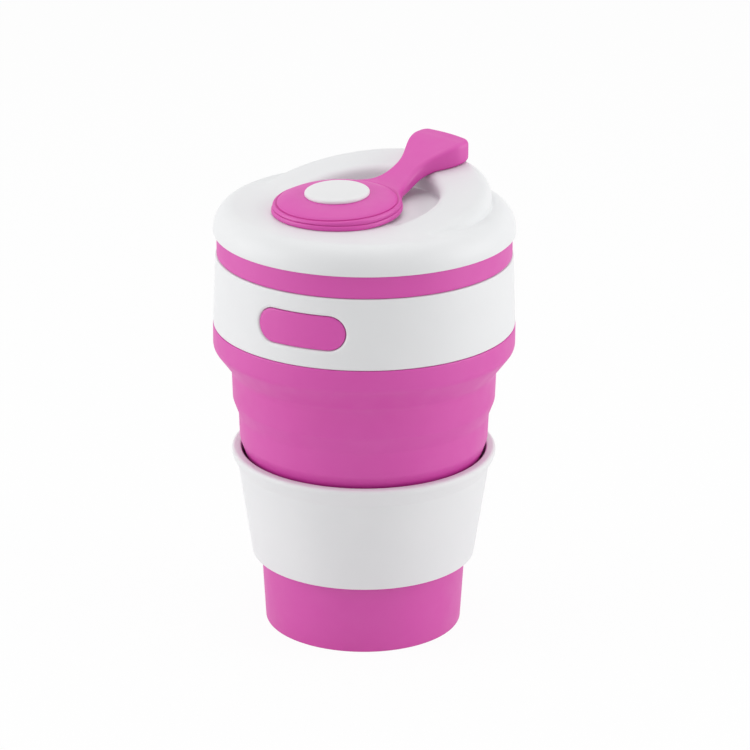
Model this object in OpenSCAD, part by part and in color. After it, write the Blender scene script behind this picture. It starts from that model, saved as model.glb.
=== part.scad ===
// Collapsible travel cup: a silicone cup that turns inside out at its fold wall, stiffened by a
// collar, with a hand sleeve, a press-in lid and a strap stopper. Millimetres, +Z up, the origin
// at the middle of the foot on the table, the spout along +Y.

/* [Cup base] */
// Outside diameter of the base at its foot
base_d = 61.2; // [54:0.2:64]
// Height of the plain lower wall
lower_h = 46; // [42:0.5:50]
// Outside radius that the lower wall gains for each mm of height
lower_taper = 0.058; // [0.03:0.002:0.07]
// Silicone wall thickness
wall = 2.2; // [1.6:0.1:2.6]
// Thickness of the floor
floor_t = 3.4; // [2.4:0.1:5]
// Rounding of the foot's outer edge
foot_round = 0.6; // [0.4:0.1:3]
// Width of the ring that the cup stands on
foot_ring_w = 4; // [2.5:0.1:8]
// Depth of the hollow inside the foot ring
foot_hollow = 0.8; // [0.4:0.1:1.4]

/* [Fold wall] */
// Height of the sloping shoulder above the lower wall, mostly hidden by the sleeve
low_shoulder_h = 15; // [9:0.5:18]
// Outside diameter of the middle wall
mid_d = 77; // [74:0.2:78]
// Height of the middle wall
mid_h = 8; // [6:0.5:14]
// Height of the small step above the middle wall
step_h = 5; // [3:0.5:8]
// How far the tier above the step stands out beyond the middle wall
step_w = 2.4; // [1:0.1:3]
// Height of that tier
tier_h = 9.5; // [6:0.5:14]
// Height of the top shoulder
top_shoulder_h = 7.5; // [6:0.5:14]

/* [Upper wall] */
// How far the bead under the collar stands out beyond the collar's lower edge
bead_proud = 0.1; // [0:0.1:1]
// Height of the bead
bead_h = 7; // [5:0.5:12]
// Thickness of the wall where the collar's groove leaves it thinnest
groove_wall = 1.8; // [1.2:0.1:2.4]
// How far the band between collar and lid lies inside the collar's upper edge
band_set = 0.4; // [0:0.1:0.6]
// Height of that band
band_h = 6.8; // [4:0.2:10]
// Height of the rim that goes up into the lid
rim_h = 1.5; // [1:0.1:2.5]
// Thickness of the rim inside the lid
rim_t = 2.4; // [2:0.1:2.6]

/* [Collar] */
// Outside diameter of the collar at its lower edge
collar_d = 92.8; // [88:0.2:97]
// Radius that the collar loses from its lower edge to its upper edge
collar_draw = 0.8; // [0:0.1:1.2]
// Height of the collar
collar_h = 22.2; // [18:0.2:26]
// Thickness of the collar
collar_t = 1.4; // [1:0.1:1.6]
// Width of the window slot
window_w = 28.8; // [20:0.2:36]
// Height of the window slot
window_h = 10.7; // [7:0.1:13]
// Direction of the window, turned from +X
window_angle = -70; // [-180:1:180]
// How far the pad in the window stands out of the collar
pad_proud = 0.35; // [0.1:0.05:0.8]

/* [Sleeve] */
// How far the sleeve's lower edge lies below the top of the lower wall
sleeve_drop = 23.3; // [20:0.1:26]
// Height of the sleeve
sleeve_h = 34.2; // [31:0.1:36]
// Gap between the sleeve's lower edge and the cup
sleeve_low_gap = 1.3; // [0.9:0.1:2.4]
// Gap between the sleeve and the lower fold, where the lip starts
sleeve_neck_gap = 2.7; // [1.4:0.1:3.4]
// Gap between the lip and the middle wall of the cup
sleeve_lip_gap = 0.6; // [0.4:0.1:2]
// Height of the flared lip
lip_h = 7; // [5:0.2:9]
// Thickness of the lip
lip_t = 1.9; // [1.5:0.1:2.2]
// Thickness of the sleeve
sleeve_t = 1.5; // [1.1:0.1:1.7]
// Number of grip ribs inside the sleeve
rib_count = 72; // [24:1:90]
// Width of a grip rib
rib_w = 1.1; // [0.7:0.1:1.4]
// Height of the grip ribs
rib_h = 16; // [10:0.5:20]

/* [Lid] */
// How far the lid stands out beyond the band below it
lid_over = 1; // [0.6:0.1:3]
// Height of the rounded shoulder, from the lower edge to the flat top
shoulder_h = 8.3; // [7:0.1:11]
// Width of the shoulder's rounding
shoulder_w = 5.5; // [3:0.1:7]
// Lid wall thickness
lid_t = 2; // [1.4:0.1:2.2]
// How far the plug skirt reaches down inside the mouth
skirt_depth = 8; // [5:0.5:12]
// Thickness of the plug skirt
skirt_t = 1.5; // [1:0.1:2]
// Width of the flat ledge round the raised spout block
ledge_w = 2.1; // [1:0.1:4]
// Slope of the spout block's top
spout_slope = 10.1; // [8:0.1:12]
// Where the sloping top leaves the flat top, behind the lid's centre
slope_start = 10.6; // [8:0.2:13]
// Rounding of the spout block's edge
spout_round = 3.6; // [2:0.1:5]
// Diameter of the dish
dish_d = 46; // [44:0.5:50]
// Rounding of the dish's crest
dish_round = 2.4; // [1:0.1:3]
// Diameter of the drink hole
drink_hole_d = 8.4; // [7:0.2:9]
// Distance of the drink hole from the spout block's edge
drink_hole_in = 8.8; // [8.4:0.1:9.4]

/* [Stopper] */
// Outside diameter of the eyelet disc
disc_d = 39.8; // [36:0.2:42]
// Height of the disc's bead, over the middle of the disc
disc_h = 3.8; // [3.4:0.1:4.4]
// Slope of the disc's face, up towards the strap
disc_tilt = 2.5; // [0:0.5:3.5]
// Height of the thin flange at the disc's foot
flange_h = 1.6; // [0.8:0.1:1.8]
// Rise of the domed face above the bead
dome_rise = 1.9; // [0.5:0.1:3]
// Distance of the disc behind the lid's centre
disc_back = 11.8; // [10:0.1:14]
// Half width of the strap at its waist
waist_w = 5; // [4:0.1:7]
// Radius of the fillets that join the strap to the disc
root_round = 17.5; // [13:0.5:24]
// Length of the bending strap, from the disc's edge to the stiff tab
bend_len = 12; // [9:0.2:13]
// Half width of the tab
tab_w = 10.2; // [8:0.1:12]
// Thickness of the tab
tab_t = 7.4; // [5:0.1:9]
// Distance from the drink hole to the tab's end
tab_reach = 6.8; // [6:0.1:7.5]
// Rounding of the tab's end
tab_round = 1.8; // [1:0.1:2.5]
// Length of the plug in the drink hole
plug_h = 4; // [3:0.1:5]
// Radius that the plug loses over its length
plug_draft = 0.6; // [0.2:0.1:1]

/* [Button] */
// Diameter of the button's head
button_d = 19.8; // [14:0.2:24]
// Height of the button's head
button_h = 2.1; // [1.6:0.1:3.5]
// Diameter of the button's stem
stem_d = 8; // [6:0.2:10]
// Width of the snap barb beyond the stem
barb = 0.8; // [0.5:0.1:1.2]
// Width of the slot that lets the barbs spring
barb_slot = 1.4; // [1:0.1:2]

/* [Fits] */
// Gap between the plug skirt and the mouth, and between the lid and the rim
lid_fit = 0.3; // [0.2:0.05:0.5]
// Gap between the lid's lower edge and the band below it
lid_gap = 0.2; // [0.1:0.05:0.6]
// Gap all round the collar in its groove
collar_fit = 0.1; // [0.05:0.05:0.2]
// Gap round the pad in the window
window_fit = 0.12; // [0.05:0.01:0.3]
// Gap between the grip ribs and the lower wall
rib_fit = 0.3; // [0.2:0.05:0.5]
// Gap round the button's stem
stem_fit = 0.2; // [0.1:0.05:0.4]
// Gap between the tab and the sloping top
tab_fit = 0.2; // [0.15:0.05:0.4]
// Gap round the plug in the drink hole
plug_fit = 0.6; // [0.4:0.05:0.8]

/* [Hidden] */
$fn = 96;
silicone = [0.80, 0.33, 0.64];
plastic = [0.93, 0.93, 0.94];

// Heights of the cup's stations above the table
sleeve_z = lower_h - sleeve_drop;
mid_z = lower_h + low_shoulder_h;
step_z = mid_z + mid_h;
tier_z = step_z + step_h;
shoulder_z = tier_z + tier_h;
bead_z = shoulder_z + top_shoulder_h;
collar_z = bead_z + bead_h;
band_z = collar_z + collar_h;
lid_z = band_z + band_h;
rim_top_z = lid_z + rim_h;

// Radii of the cup's stations
base_r = base_d / 2;
lower_top_r = lower_wall_r(lower_h);
mid_r = mid_d / 2;
tier_r = mid_r + step_w;
collar_low_r = collar_d / 2;
collar_top_r = collar_low_r - collar_draw;
bead_r = collar_low_r + bead_proud;
band_r = collar_top_r - band_set;
groove_low_r = collar_low_r - collar_t - collar_fit;
groove_top_r = collar_top_r - collar_t - collar_fit;
mouth_r = groove_top_r - groove_wall;
rim_r = mouth_r + rim_t;
wall_draft = 0.3;     // radius that the upright walls of the fold gain with height
wall_round = 1.4;     // rounding where the walls of the fold meet
seam = 1;             // the stiff ring stops this far short of the corners where the folds bend
floor_round = 4;      // rounding inside, between floor and wall
edge = 0.4;           // rounding of the plastic edges

// Lid stations
lid_r = band_r + lid_over;
lip_z = lid_z + lid_gap;                   // the lid's lower edge
top_z = lip_z + shoulder_h;                // its flat top
lip_up = 0.8;                              // upright part of the lower edge
skirt_r = mouth_r - lid_fit;
skirt_z = rim_top_z - skirt_depth;
roof_z = top_z - lid_t;                    // underside of the flat top
spout_r = lid_r - shoulder_w - ledge_w;
drink_hole_y = spout_r - drink_hole_in;
dish_r = dish_d / 2;
dish_drop = 0.3;                           // the dish's floor lies this far under the flat top
spout_deep = 12;                           // depth that the spout block is made to, before trimming
far = 200;                                 // larger than the cup

// Stopper and button stations
disc_r = disc_d / 2;
disc_edge_y = disc_r - disc_back;
disc_top_z = top_z + disc_h + dome_rise;
stem_hole_r = stem_d / 2 + stem_fit;
bend_y = disc_edge_y + bend_len;
fillet_x = waist_w + root_round;           // centre of the root's fillet, beside the strap
waist_y = sqrt(pow(disc_r + root_round, 2) - pow(fillet_x, 2)) - disc_back;
tab_end_y = drink_hole_y + tab_reach;
strap_low_z = top_z + tab_fit / 2;         // underside of the strap's root
strap_top_z = top_z + disc_h + tan(disc_tilt) * disc_r;    // top of the strap's root
full_y = drink_hole_y + 2.2;               // the tab has its full width and height from here on
tab_rise = 0.1;                            // slope of the tab's top past the drink hole
root_len = 2;                              // flat length under the strap's root
squareness = 0.45;                         // corner sharpness of the strap's section, 1 for an ellipse
strap_sides = 24;
plug_r = drink_hole_d / 2 - plug_fit;
ring_r = disc_r - 0.2;                     // outside radius of the disc's bead ring
ring_w = 1.5;                              // width of that ring
ring_round = 0.8;                          // rounding of its upper edge
groove = 0.5;                              // depth and half width of the groove inside it
crease = 0.4;                              // depth of the crease between ring and flange

// Outside radius of the lower wall at height z
function lower_wall_r(z) = base_r + lower_taper * z;

// Outside radius of the cup at height z, up to the top of the lower fold
function cup_r(z) = z < lower_h ? lower_wall_r(z)
    : lower_top_r + (mid_r - lower_top_r) * (z - lower_h) / low_shoulder_h;

// Height of the lid's sloping top at a distance y from the lid's centre
function slope_z(y) = top_z + tan(spout_slope) * (y + slope_start);

// Soft step from 0 to 1 as v goes from a to b
function soft(v, a, b) = let (t = max(0, min(1, (v - a) / (b - a)))) t * t * (3 - 2 * t);

function unit(v) = v / norm(v);

// Arc of radius r that rounds the corner b of the path a, b, c
function corner_arc(a, b, c, r, n) =
    let (u = unit(a - b), w = unit(c - b), half = acos(u * w) / 2,
         middle = b + unit(u + w) * r / sin(half),
         p = b + u * r / tan(half) - middle, q = b + w * r / tan(half) - middle,
         start = atan2(p.y, p.x), turn = (atan2(q.y, q.x) - start + 540) % 360 - 180)
    [for (i = [0:n]) middle + r * [cos(start + turn * i / n), sin(start + turn * i / n)]];

// Closed outline from points [x, y] or [x, y, rounding]
function outline(points, n = 5) =
    let (m = len(points), flat = [for (p = points) [p.x, p.y]])
    [for (i = [0:m - 1])
        each len(points[i]) < 3 ? [flat[i]]
            : corner_arc(flat[(i + m - 1) % m], flat[i], flat[(i + 1) % m], points[i].z, n)];

module turned(points, n = 5) rotate_extrude() polygon(outline(points, n));

// Everything above height z
module above(z) translate([-far / 2, -far / 2, z]) cube(far);

// Cup base: floor, foot ring and plain tapered wall
module cup_base() {
    foot_r = base_r - foot_ring_w;
    inside_r = lower_wall_r(floor_t) - wall;
    color(silicone) turned([
        [0, foot_hollow], [foot_r - foot_hollow, foot_hollow], [foot_r, 0],
        [base_r, 0, foot_round], [lower_top_r, lower_h], [lower_top_r - wall, lower_h],
        [inside_r, floor_t, floor_round], [0, floor_t]]);
}

// Fold wall: soft tiers, with two cones that turn inside out when the cup is pressed down
module fold_wall() {
    turned([
        [lower_top_r, lower_h], [mid_r, mid_z, wall_round],
        [mid_r + wall_draft, step_z, wall_round], [tier_r - wall_draft, tier_z, wall_round],
        [tier_r, shoulder_z, 2 * wall_round], [bead_r, bead_z],
        [mouth_r, bead_z], [tier_r - wall, shoulder_z, 2 * wall_round],
        [tier_r - wall_draft - wall, tier_z, wall_round],
        [mid_r + wall_draft - wall, step_z, wall_round], [mid_r - wall, mid_z, wall_round],
        [lower_top_r - wall, lower_h]]);
}

module fold_slice(low_z, high_z) {
    color(silicone) intersection() {
        fold_wall();
        translate([-far / 2, -far / 2, low_z]) cube([far, far, high_z - low_z]);
    }
}

// Lower fold: the cone between base and ring
module low_fold() fold_slice(lower_h, mid_z + seam);

// Ring: the stiff middle wall, step and tier between the two folds
module fold_ring() fold_slice(mid_z + seam, shoulder_z - seam);

// Upper fold: the cone between ring and upper wall
module top_fold() fold_slice(shoulder_z - seam, bead_z);

// Round-ended slot shape, cut square through the wall at the window's middle
module window_prism(grow) {
    half_h = window_h / 2 + grow;
    reach = window_w / 2 - window_h / 2;
    rotate([0, 0, window_angle]) translate([0, 0, collar_z + collar_h / 2]) rotate([90, 0, 90])
        linear_extrude(collar_d) union() {
            square([2 * reach, 2 * half_h], center = true);
            for (side = [-1, 1]) translate([side * reach, 0]) circle(half_h);
        }
}

// Upper wall: bead, groove for the collar, window pad, band and rim
module cup_rim() {
    pad_low_r = collar_low_r + pad_proud;
    pad_top_r = collar_top_r + pad_proud;
    color(silicone) union() {
        turned([
            [mouth_r, bead_z], [bead_r, bead_z], [bead_r, collar_z, edge],
            [groove_low_r, collar_z], [groove_top_r, band_z], [band_r, band_z, edge],
            [band_r, lid_z], [rim_r, lid_z], [rim_r, rim_top_z, edge],
            [mouth_r, rim_top_z, edge]]);
        intersection() {
            window_prism(-window_fit);
            turned([
                [groove_low_r - edge, collar_z], [pad_low_r, collar_z],
                [pad_top_r, band_z], [groove_top_r - edge, band_z]]);
        }
    }
}

// Collar: the stiff band with its window
module collar() {
    low_z = collar_z + collar_fit;
    high_z = band_z - collar_fit;
    color(plastic) difference() {
        turned([
            [collar_low_r - collar_t, low_z], [collar_low_r, low_z, edge],
            [collar_top_r, high_z, edge], [collar_top_r - collar_t, high_z]]);
        window_prism(0);
    }
}

// Sleeve: tapered hand guard with a flared lip and grip ribs that hold the lower wall
module sleeve() {
    top_z = sleeve_z + sleeve_h;
    neck_z = top_z - lip_h;
    low_r = cup_r(sleeve_z) + sleeve_low_gap + sleeve_t;
    neck_r = cup_r(neck_z) + sleeve_neck_gap + sleeve_t;
    lip_r = mid_r + sleeve_lip_gap + lip_t;
    rib_top_z = sleeve_z + rib_h;
    inner_slope = (neck_r - low_r) / (neck_z - sleeve_z);
    rib_foot_z = sleeve_z + edge;
    rib_mid_z = sleeve_z + rib_h / 2;
    bury = sleeve_t / 4;
    neck_round = 4;
    flare_z = neck_z + 0.75 * lip_h;
    lip_edge = 0.45 * sleeve_t;
    color(plastic) union() {
        turned([
            [low_r - sleeve_t, sleeve_z], [low_r, sleeve_z, edge], [neck_r, neck_z, neck_round],
            [lip_r, flare_z, neck_round / 2], [lip_r, top_z, lip_edge],
            [lip_r - lip_t, top_z, lip_edge], [lip_r - 1.1 * lip_t, flare_z, neck_round / 2],
            [neck_r - sleeve_t, neck_z, neck_round]]);
        for (i = [0:rib_count - 1]) rotate([90, 0, i * 360 / rib_count])
            linear_extrude(rib_w, center = true) polygon([
                [low_r - sleeve_t + bury, rib_foot_z],
                [lower_wall_r(rib_foot_z) + rib_fit, rib_foot_z],
                [lower_wall_r(rib_mid_z) + rib_fit, rib_mid_z],
                [low_r - sleeve_t + inner_slope * rib_h, rib_top_z],
                [low_r - sleeve_t + inner_slope * rib_h + bury, rib_top_z]]);
    }
}

// Frame of the sloping top: its centre on the lid's axis, its own z square to the slope
module on_slope() translate([0, 0, slope_z(0)]) rotate([spout_slope, 0, 0]) children();

// Spout block before trimming, smaller by inset on every side
module spout_block(inset) {
    r = spout_r - inset;
    on_slope() turned([
        [0, -spout_deep], [r, -spout_deep], [r, -inset, spout_round - inset], [0, -inset]]);
}

// Dish volume with a rounded crest, grown by wall thickness for the hollow below it
module dish_volume(grow) {
    r = dish_r + grow;
    crest = dish_round - grow > 0 ? dish_round - grow : 0;
    on_slope() rotate_extrude() polygon(concat(
        [[0, -spout_deep], [r, -spout_deep]],
        [for (a = [180:-15:90]) [r + crest + crest * cos(a), -crest + crest * sin(a)]],
        [[r + crest, dish_round], [0, dish_round]]));
}

// Lid: shoulder and flat top, sloping spout block, dish, holes and plug skirt
module lid() {
    arc_r = lid_r - shoulder_w;
    arc_h = shoulder_h - lip_up;
    shoulder = [for (a = [0:10:90])
        [arc_r + shoulder_w * cos(a), lip_z + lip_up + arc_h * sin(a)]];
    color(plastic) difference() {
        union() {
            rotate_extrude() polygon(concat(
                [[rim_r + lid_fit, lip_z], [lid_r, lip_z]], shoulder,
                [[0, top_z], [0, roof_z], [skirt_r - skirt_t, roof_z],
                 [skirt_r - skirt_t, skirt_z], [skirt_r - edge, skirt_z],
                 [skirt_r, skirt_z + 2 * edge], [skirt_r, rim_top_z],
                 [rim_r + lid_fit, rim_top_z]]));
            intersection() {
                spout_block(0);
                above(roof_z + lid_t / 2);
            }
        }
        difference() {
            intersection() {
                spout_block(lid_t);
                above(roof_z - edge);
            }
            dish_volume(lid_t);
        }
        intersection() {
            dish_volume(0);
            above(top_z - dish_drop);
        }
        translate([0, -disc_back, roof_z - edge]) cylinder(r = stem_hole_r, h = 2 * lid_t);
        translate([0, drink_hole_y, roof_z]) cylinder(r = drink_hole_d / 2, h = far / 4);
    }
}

// Frame of the disc's sloping face: its centre over the disc's, level with the bead
module on_face() translate([0, -disc_back, top_z + disc_h]) rotate([disc_tilt, 0, 0]) children();

// Button: low domed head square to the disc's face, upright stem, split snap barbs under the lid
module lid_button() {
    head_r = button_d / 2;
    stem_r = stem_d / 2;
    catch_z = roof_z - edge / 2;
    tip_z = catch_z - 3 * barb;
    crown = button_h / 4;
    color(plastic) difference() {
        union() {
            translate([0, -disc_back, 0]) rotate_extrude() polygon([
                [0, tip_z], [stem_r - barb, tip_z], [stem_r + barb, catch_z - barb / 2],
                [stem_r + barb, catch_z], [stem_r, catch_z],
                [stem_r, disc_top_z + button_h / 2], [0, disc_top_z + button_h / 2]]);
            on_face() translate([0, 0, dome_rise]) rotate_extrude() polygon(concat(
                [[0, 0], [head_r, 0]],
                [for (a = [0:15:75])
                    [head_r - crown + crown * cos(a), button_h - 2 * crown + crown * sin(a)]],
                [for (t = [0.8:-0.2:0]) [t * head_r, button_h - crown * t * t]]));
        }
        translate([-barb_slot / 2, -disc_back - head_r, tip_z - edge])
            cube([barb_slot, 2 * head_r, catch_z + edge - tip_z]);
    }
}

// Eyelet disc of the stopper: flat flange, crease, and a sloping face with bead, groove and dome
module stopper_disc() {
    face_r = ring_r - ring_w;
    seat_r = button_d / 2;
    dome = [for (t = [0.9:-0.15:0])
        [seat_r + t * (face_r - seat_r), dome_rise * (1 - t * t)]];
    color(silicone) difference() {
        union() {
            translate([0, -disc_back, top_z]) turned([
                [0, 0], [disc_r, 0, edge], [disc_r, flange_h], [0, flange_h]]);
            intersection() {
                on_face() turned(concat(
                    [[0, -2 * disc_h], [ring_r, -2 * disc_h], [ring_r, 0, ring_round],
                     [face_r + groove, 0, groove], [face_r, -groove], [face_r - groove, 0]],
                    dome, [[0, dome_rise]]));
                above(top_z + flange_h / 2);
            }
        }
        translate([0, -disc_back, top_z + flange_h]) rotate_extrude() polygon([
            [disc_r - crease, 0], [disc_r + crease, -crease], [disc_r + crease, crease]]);
        translate([0, -disc_back, top_z - edge]) cylinder(r = stem_hole_r, h = 4 * disc_h);
    }
}

// Half width, underside and top of the stopper's strap and tab at a distance y from the lid's centre
function strap_w(y) = y < waist_y
    ? fillet_x - sqrt(pow(root_round, 2) - pow(waist_y - y, 2))
    : waist_w + (tab_w - waist_w) * soft(y, waist_y, full_y);
function strap_under(y) = strap_low_z
    + (slope_z(y) + tab_fit - strap_low_z) * soft(y, disc_edge_y + root_len, dish_r + dish_round);
function strap_over(y) = strap_top_z
    + (slope_z(drink_hole_y) + tab_t - strap_top_z) * soft(y, disc_edge_y, full_y)
    + tab_rise * max(0, y - drink_hole_y);

// Rounded-square section of the strap at y, drawn in by inset
function strap_section(y, inset, sides) =
    let (w = strap_w(y) - inset, low = strap_under(y) + inset, high = strap_over(y) - inset)
    [for (i = [0:sides - 1])
        let (a = 360 * (i + 0.5) / sides, c = cos(a), s = sin(a))
        [w * sign(c) * pow(abs(c), squareness), y,
         (low + high) / 2 + (high - low) / 2 * sign(s) * pow(abs(s), squareness)]];

// Closed solid through a list of sections with the same number of points
module loft(sections) {
    n = len(sections[0]);
    last = len(sections) - 1;
    polyhedron(
        points = [for (s = sections) each s],
        faces = concat(
            [[for (i = [n - 1:-1:0]) i]],
            [for (k = [0:last - 1], i = [0:n - 1])
                let (a = k * n + i, b = k * n + (i + 1) % n)
                each [[a, b, b + n], [a, b + n, a + n]]],
            [[for (i = [0:n - 1]) last * n + i]]));
}

// Strap: the soft neck that bends when the stopper is lifted
module stopper_strap() {
    start_y = disc_edge_y - 2.6;    // inside the disc's edge, where the fillets run out
    steps = 12;
    color(silicone) difference() {
        loft([for (k = [0:steps])
            strap_section(start_y + (bend_y - start_y) * k / steps, 0, strap_sides)]);
        translate([0, -disc_back, top_z - disc_h]) cylinder(r = disc_r, h = 4 * disc_h);
    }
}

// Tab with the plug that closes the drink hole
module stopper_tab() {
    body_end = tab_end_y - tab_round;
    steps = 10;
    body = [for (k = [0:steps])
        strap_section(bend_y + (body_end - bend_y) * k / steps, 0, strap_sides)];
    nose = [for (a = [25:25:75])
        strap_section(body_end + tab_round * sin(a), tab_round * (1 - cos(a)), strap_sides)];
    under_z = slope_z(drink_hole_y) - tan(spout_slope) * plug_r;
    color(silicone) union() {
        loft(concat(body, nose));
        translate([0, drink_hole_y, 0]) turned([
            [0, under_z - plug_h], [plug_r - plug_draft, under_z - plug_h, edge],
            [plug_r, under_z + tab_fit], [plug_r, under_z + tab_t / 2], [0, under_z + tab_t / 2]]);
    }
}

cup_base();
low_fold();
fold_ring();
top_fold();
cup_rim();
collar();
sleeve();
lid();
lid_button();
stopper_disc();
stopper_strap();
stopper_tab();
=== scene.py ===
"""Looks of a collapsible travel cup: silicone body, collar, hand sleeve, press-in lid and strap stopper.

Sizes are in millimetres in the part's own frame: +Z up, the middle of the foot at the origin and the
drink hole along +Y. They become metres when a mesh is made. Stations shared with the solids are read
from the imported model, and only the finer forms have values of their own.
"""

import logging
import math
from collections.abc import Callable, Sequence
from dataclasses import dataclass
from enum import Enum
from typing import NamedTuple

import bmesh
import bpy
import numpy as np
from mathutils import Matrix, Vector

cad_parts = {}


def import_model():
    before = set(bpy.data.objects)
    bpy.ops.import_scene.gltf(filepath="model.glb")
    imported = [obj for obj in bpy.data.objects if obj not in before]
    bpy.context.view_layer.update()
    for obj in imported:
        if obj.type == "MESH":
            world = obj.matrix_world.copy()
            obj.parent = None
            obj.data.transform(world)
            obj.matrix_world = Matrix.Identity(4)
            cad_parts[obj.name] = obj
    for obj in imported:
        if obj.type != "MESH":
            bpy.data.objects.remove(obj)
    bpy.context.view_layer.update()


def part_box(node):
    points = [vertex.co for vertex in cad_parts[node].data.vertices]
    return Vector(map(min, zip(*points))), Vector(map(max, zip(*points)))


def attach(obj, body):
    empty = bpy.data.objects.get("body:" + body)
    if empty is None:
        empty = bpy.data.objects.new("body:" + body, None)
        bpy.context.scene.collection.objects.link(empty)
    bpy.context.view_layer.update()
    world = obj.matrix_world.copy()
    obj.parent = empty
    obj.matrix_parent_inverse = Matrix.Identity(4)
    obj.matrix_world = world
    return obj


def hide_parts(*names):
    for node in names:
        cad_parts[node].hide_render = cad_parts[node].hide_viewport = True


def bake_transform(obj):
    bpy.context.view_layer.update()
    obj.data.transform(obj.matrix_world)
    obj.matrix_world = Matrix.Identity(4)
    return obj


LOG = logging.getLogger("travel_cup")
MM = 0.001
MERGE_MM = 0.001
SHARP_EDGE_DEG = 38.0
ARC_STEP_DEG = 9.0
NOISE_LOW = 0.3
NOISE_HIGH = 0.7


class Body(Enum):
    """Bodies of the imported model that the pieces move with."""

    LOWER = "lower"
    RING = "ring"
    UPPER = "upper"
    SLEEVE = "sleeve"
    LID = "lid"
    STOPPER = "stopper"


class Slot(Enum):
    """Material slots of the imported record."""

    CUP = "cup_silicone"
    STOPPER = "stopper_silicone"
    COLLAR = "collar_plastic"
    SLEEVE = "sleeve_plastic"
    LID = "lid_plastic"
    BUTTON = "button_plastic"


class Corner(NamedTuple):
    """Corner of a turned profile: radius, height and the radius of its rounding."""

    r: float
    z: float
    rounding: float = 0.0


@dataclass(frozen=True)
class NodeBox:
    """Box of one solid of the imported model, in millimetres.

    Attributes:
        low: Least x, y and z.
        high: Greatest x, y and z.
    """

    low: np.ndarray
    high: np.ndarray

    @classmethod
    def of(cls, node: str) -> "NodeBox":
        """Read the box of a node.

        Args:
            node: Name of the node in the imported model.

        Returns:
            The node's box at rest.
        """
        low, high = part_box(node)
        return cls(np.array(low) / MM, np.array(high) / MM)

    @property
    def radius(self) -> float:
        """Half of the box's width along X."""
        return float(self.high[0] - self.low[0]) / 2

    @property
    def bottom(self) -> float:
        """Lowest height."""
        return float(self.low[2])

    @property
    def top(self) -> float:
        """Greatest height."""
        return float(self.high[2])

    @property
    def front(self) -> float:
        """Greatest distance along +Y."""
        return float(self.high[1])

    @property
    def back(self) -> float:
        """Least distance along Y."""
        return float(self.low[1])


def soft_step(value: np.ndarray, low: float, high: float) -> np.ndarray:
    """Go softly from 0 to 1: t squared times (3 - 2 t), where t runs from low to high.

    Args:
        value: Where the step is taken.
        low: Value up to which the result is 0.
        high: Value from which the result is 1.

    Returns:
        The step at each value.
    """
    t = np.clip((np.asarray(value, float) - low) / (high - low), 0.0, 1.0)
    return t * t * (3.0 - 2.0 * t)


def mix(start: np.ndarray, end: np.ndarray, share: np.ndarray) -> np.ndarray:
    """Go in a straight line from start to end as share goes from 0 to 1."""
    return start + (end - start) * share


def full_turn(columns: int) -> np.ndarray:
    """Angles of evenly spaced columns round a full turn, one to a row."""
    return 2 * np.pi * np.arange(columns)[:, None] / columns


def around(r: np.ndarray, angle: np.ndarray, z: np.ndarray) -> np.ndarray:
    """Place points round the Z axis: x is r cos a and y is r sin a.

    Args:
        r: Distance from the axis.
        angle: Angle from +X.
        z: Height.

    Returns:
        Points with x, y and z last.
    """
    x, y = r * np.cos(angle), r * np.sin(angle)
    return np.stack(np.broadcast_arrays(x, y, z), -1)


def arc_in_plan(centre: tuple[float, float], radii: tuple[float, float], ends: tuple[float, float],
                count: int) -> np.ndarray:
    """Lay points along an arc: the centre plus one radius times the cosine and the other times the sine.

    Args:
        centre: Middle of the arc.
        radii: Radius along X and radius along Y.
        ends: First and last angle.
        count: Number of points.

    Returns:
        Rows of x and y.
    """
    angle = np.linspace(*ends, count)
    return np.stack([centre[0] + radii[0] * np.cos(angle), centre[1] + radii[1] * np.sin(angle)], -1)


def divided(path: np.ndarray, spacing: float, closed: bool) -> np.ndarray:
    """Add evenly spaced points on every stretch of a path that is longer than the spacing.

    Args:
        path: Points of the path, one per row.
        spacing: Longest stretch that is left whole.
        closed: Whether the last point joins the first.

    Returns:
        The path with its added points.
    """
    starts = path if closed else path[:-1]
    ends = np.roll(path, -1, axis=0) if closed else path[1:]
    counts = np.maximum(1, np.ceil(np.linalg.norm(ends - starts, axis=1) / spacing)).astype(int)
    stretch = np.repeat(np.arange(len(starts)), counts)
    first = np.cumsum(counts) - counts
    share = (np.arange(counts.sum()) - first[stretch]) / counts[stretch]
    points = mix(starts[stretch], ends[stretch], share[:, None])
    return points if closed else np.vstack([points, path[-1:]])


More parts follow.
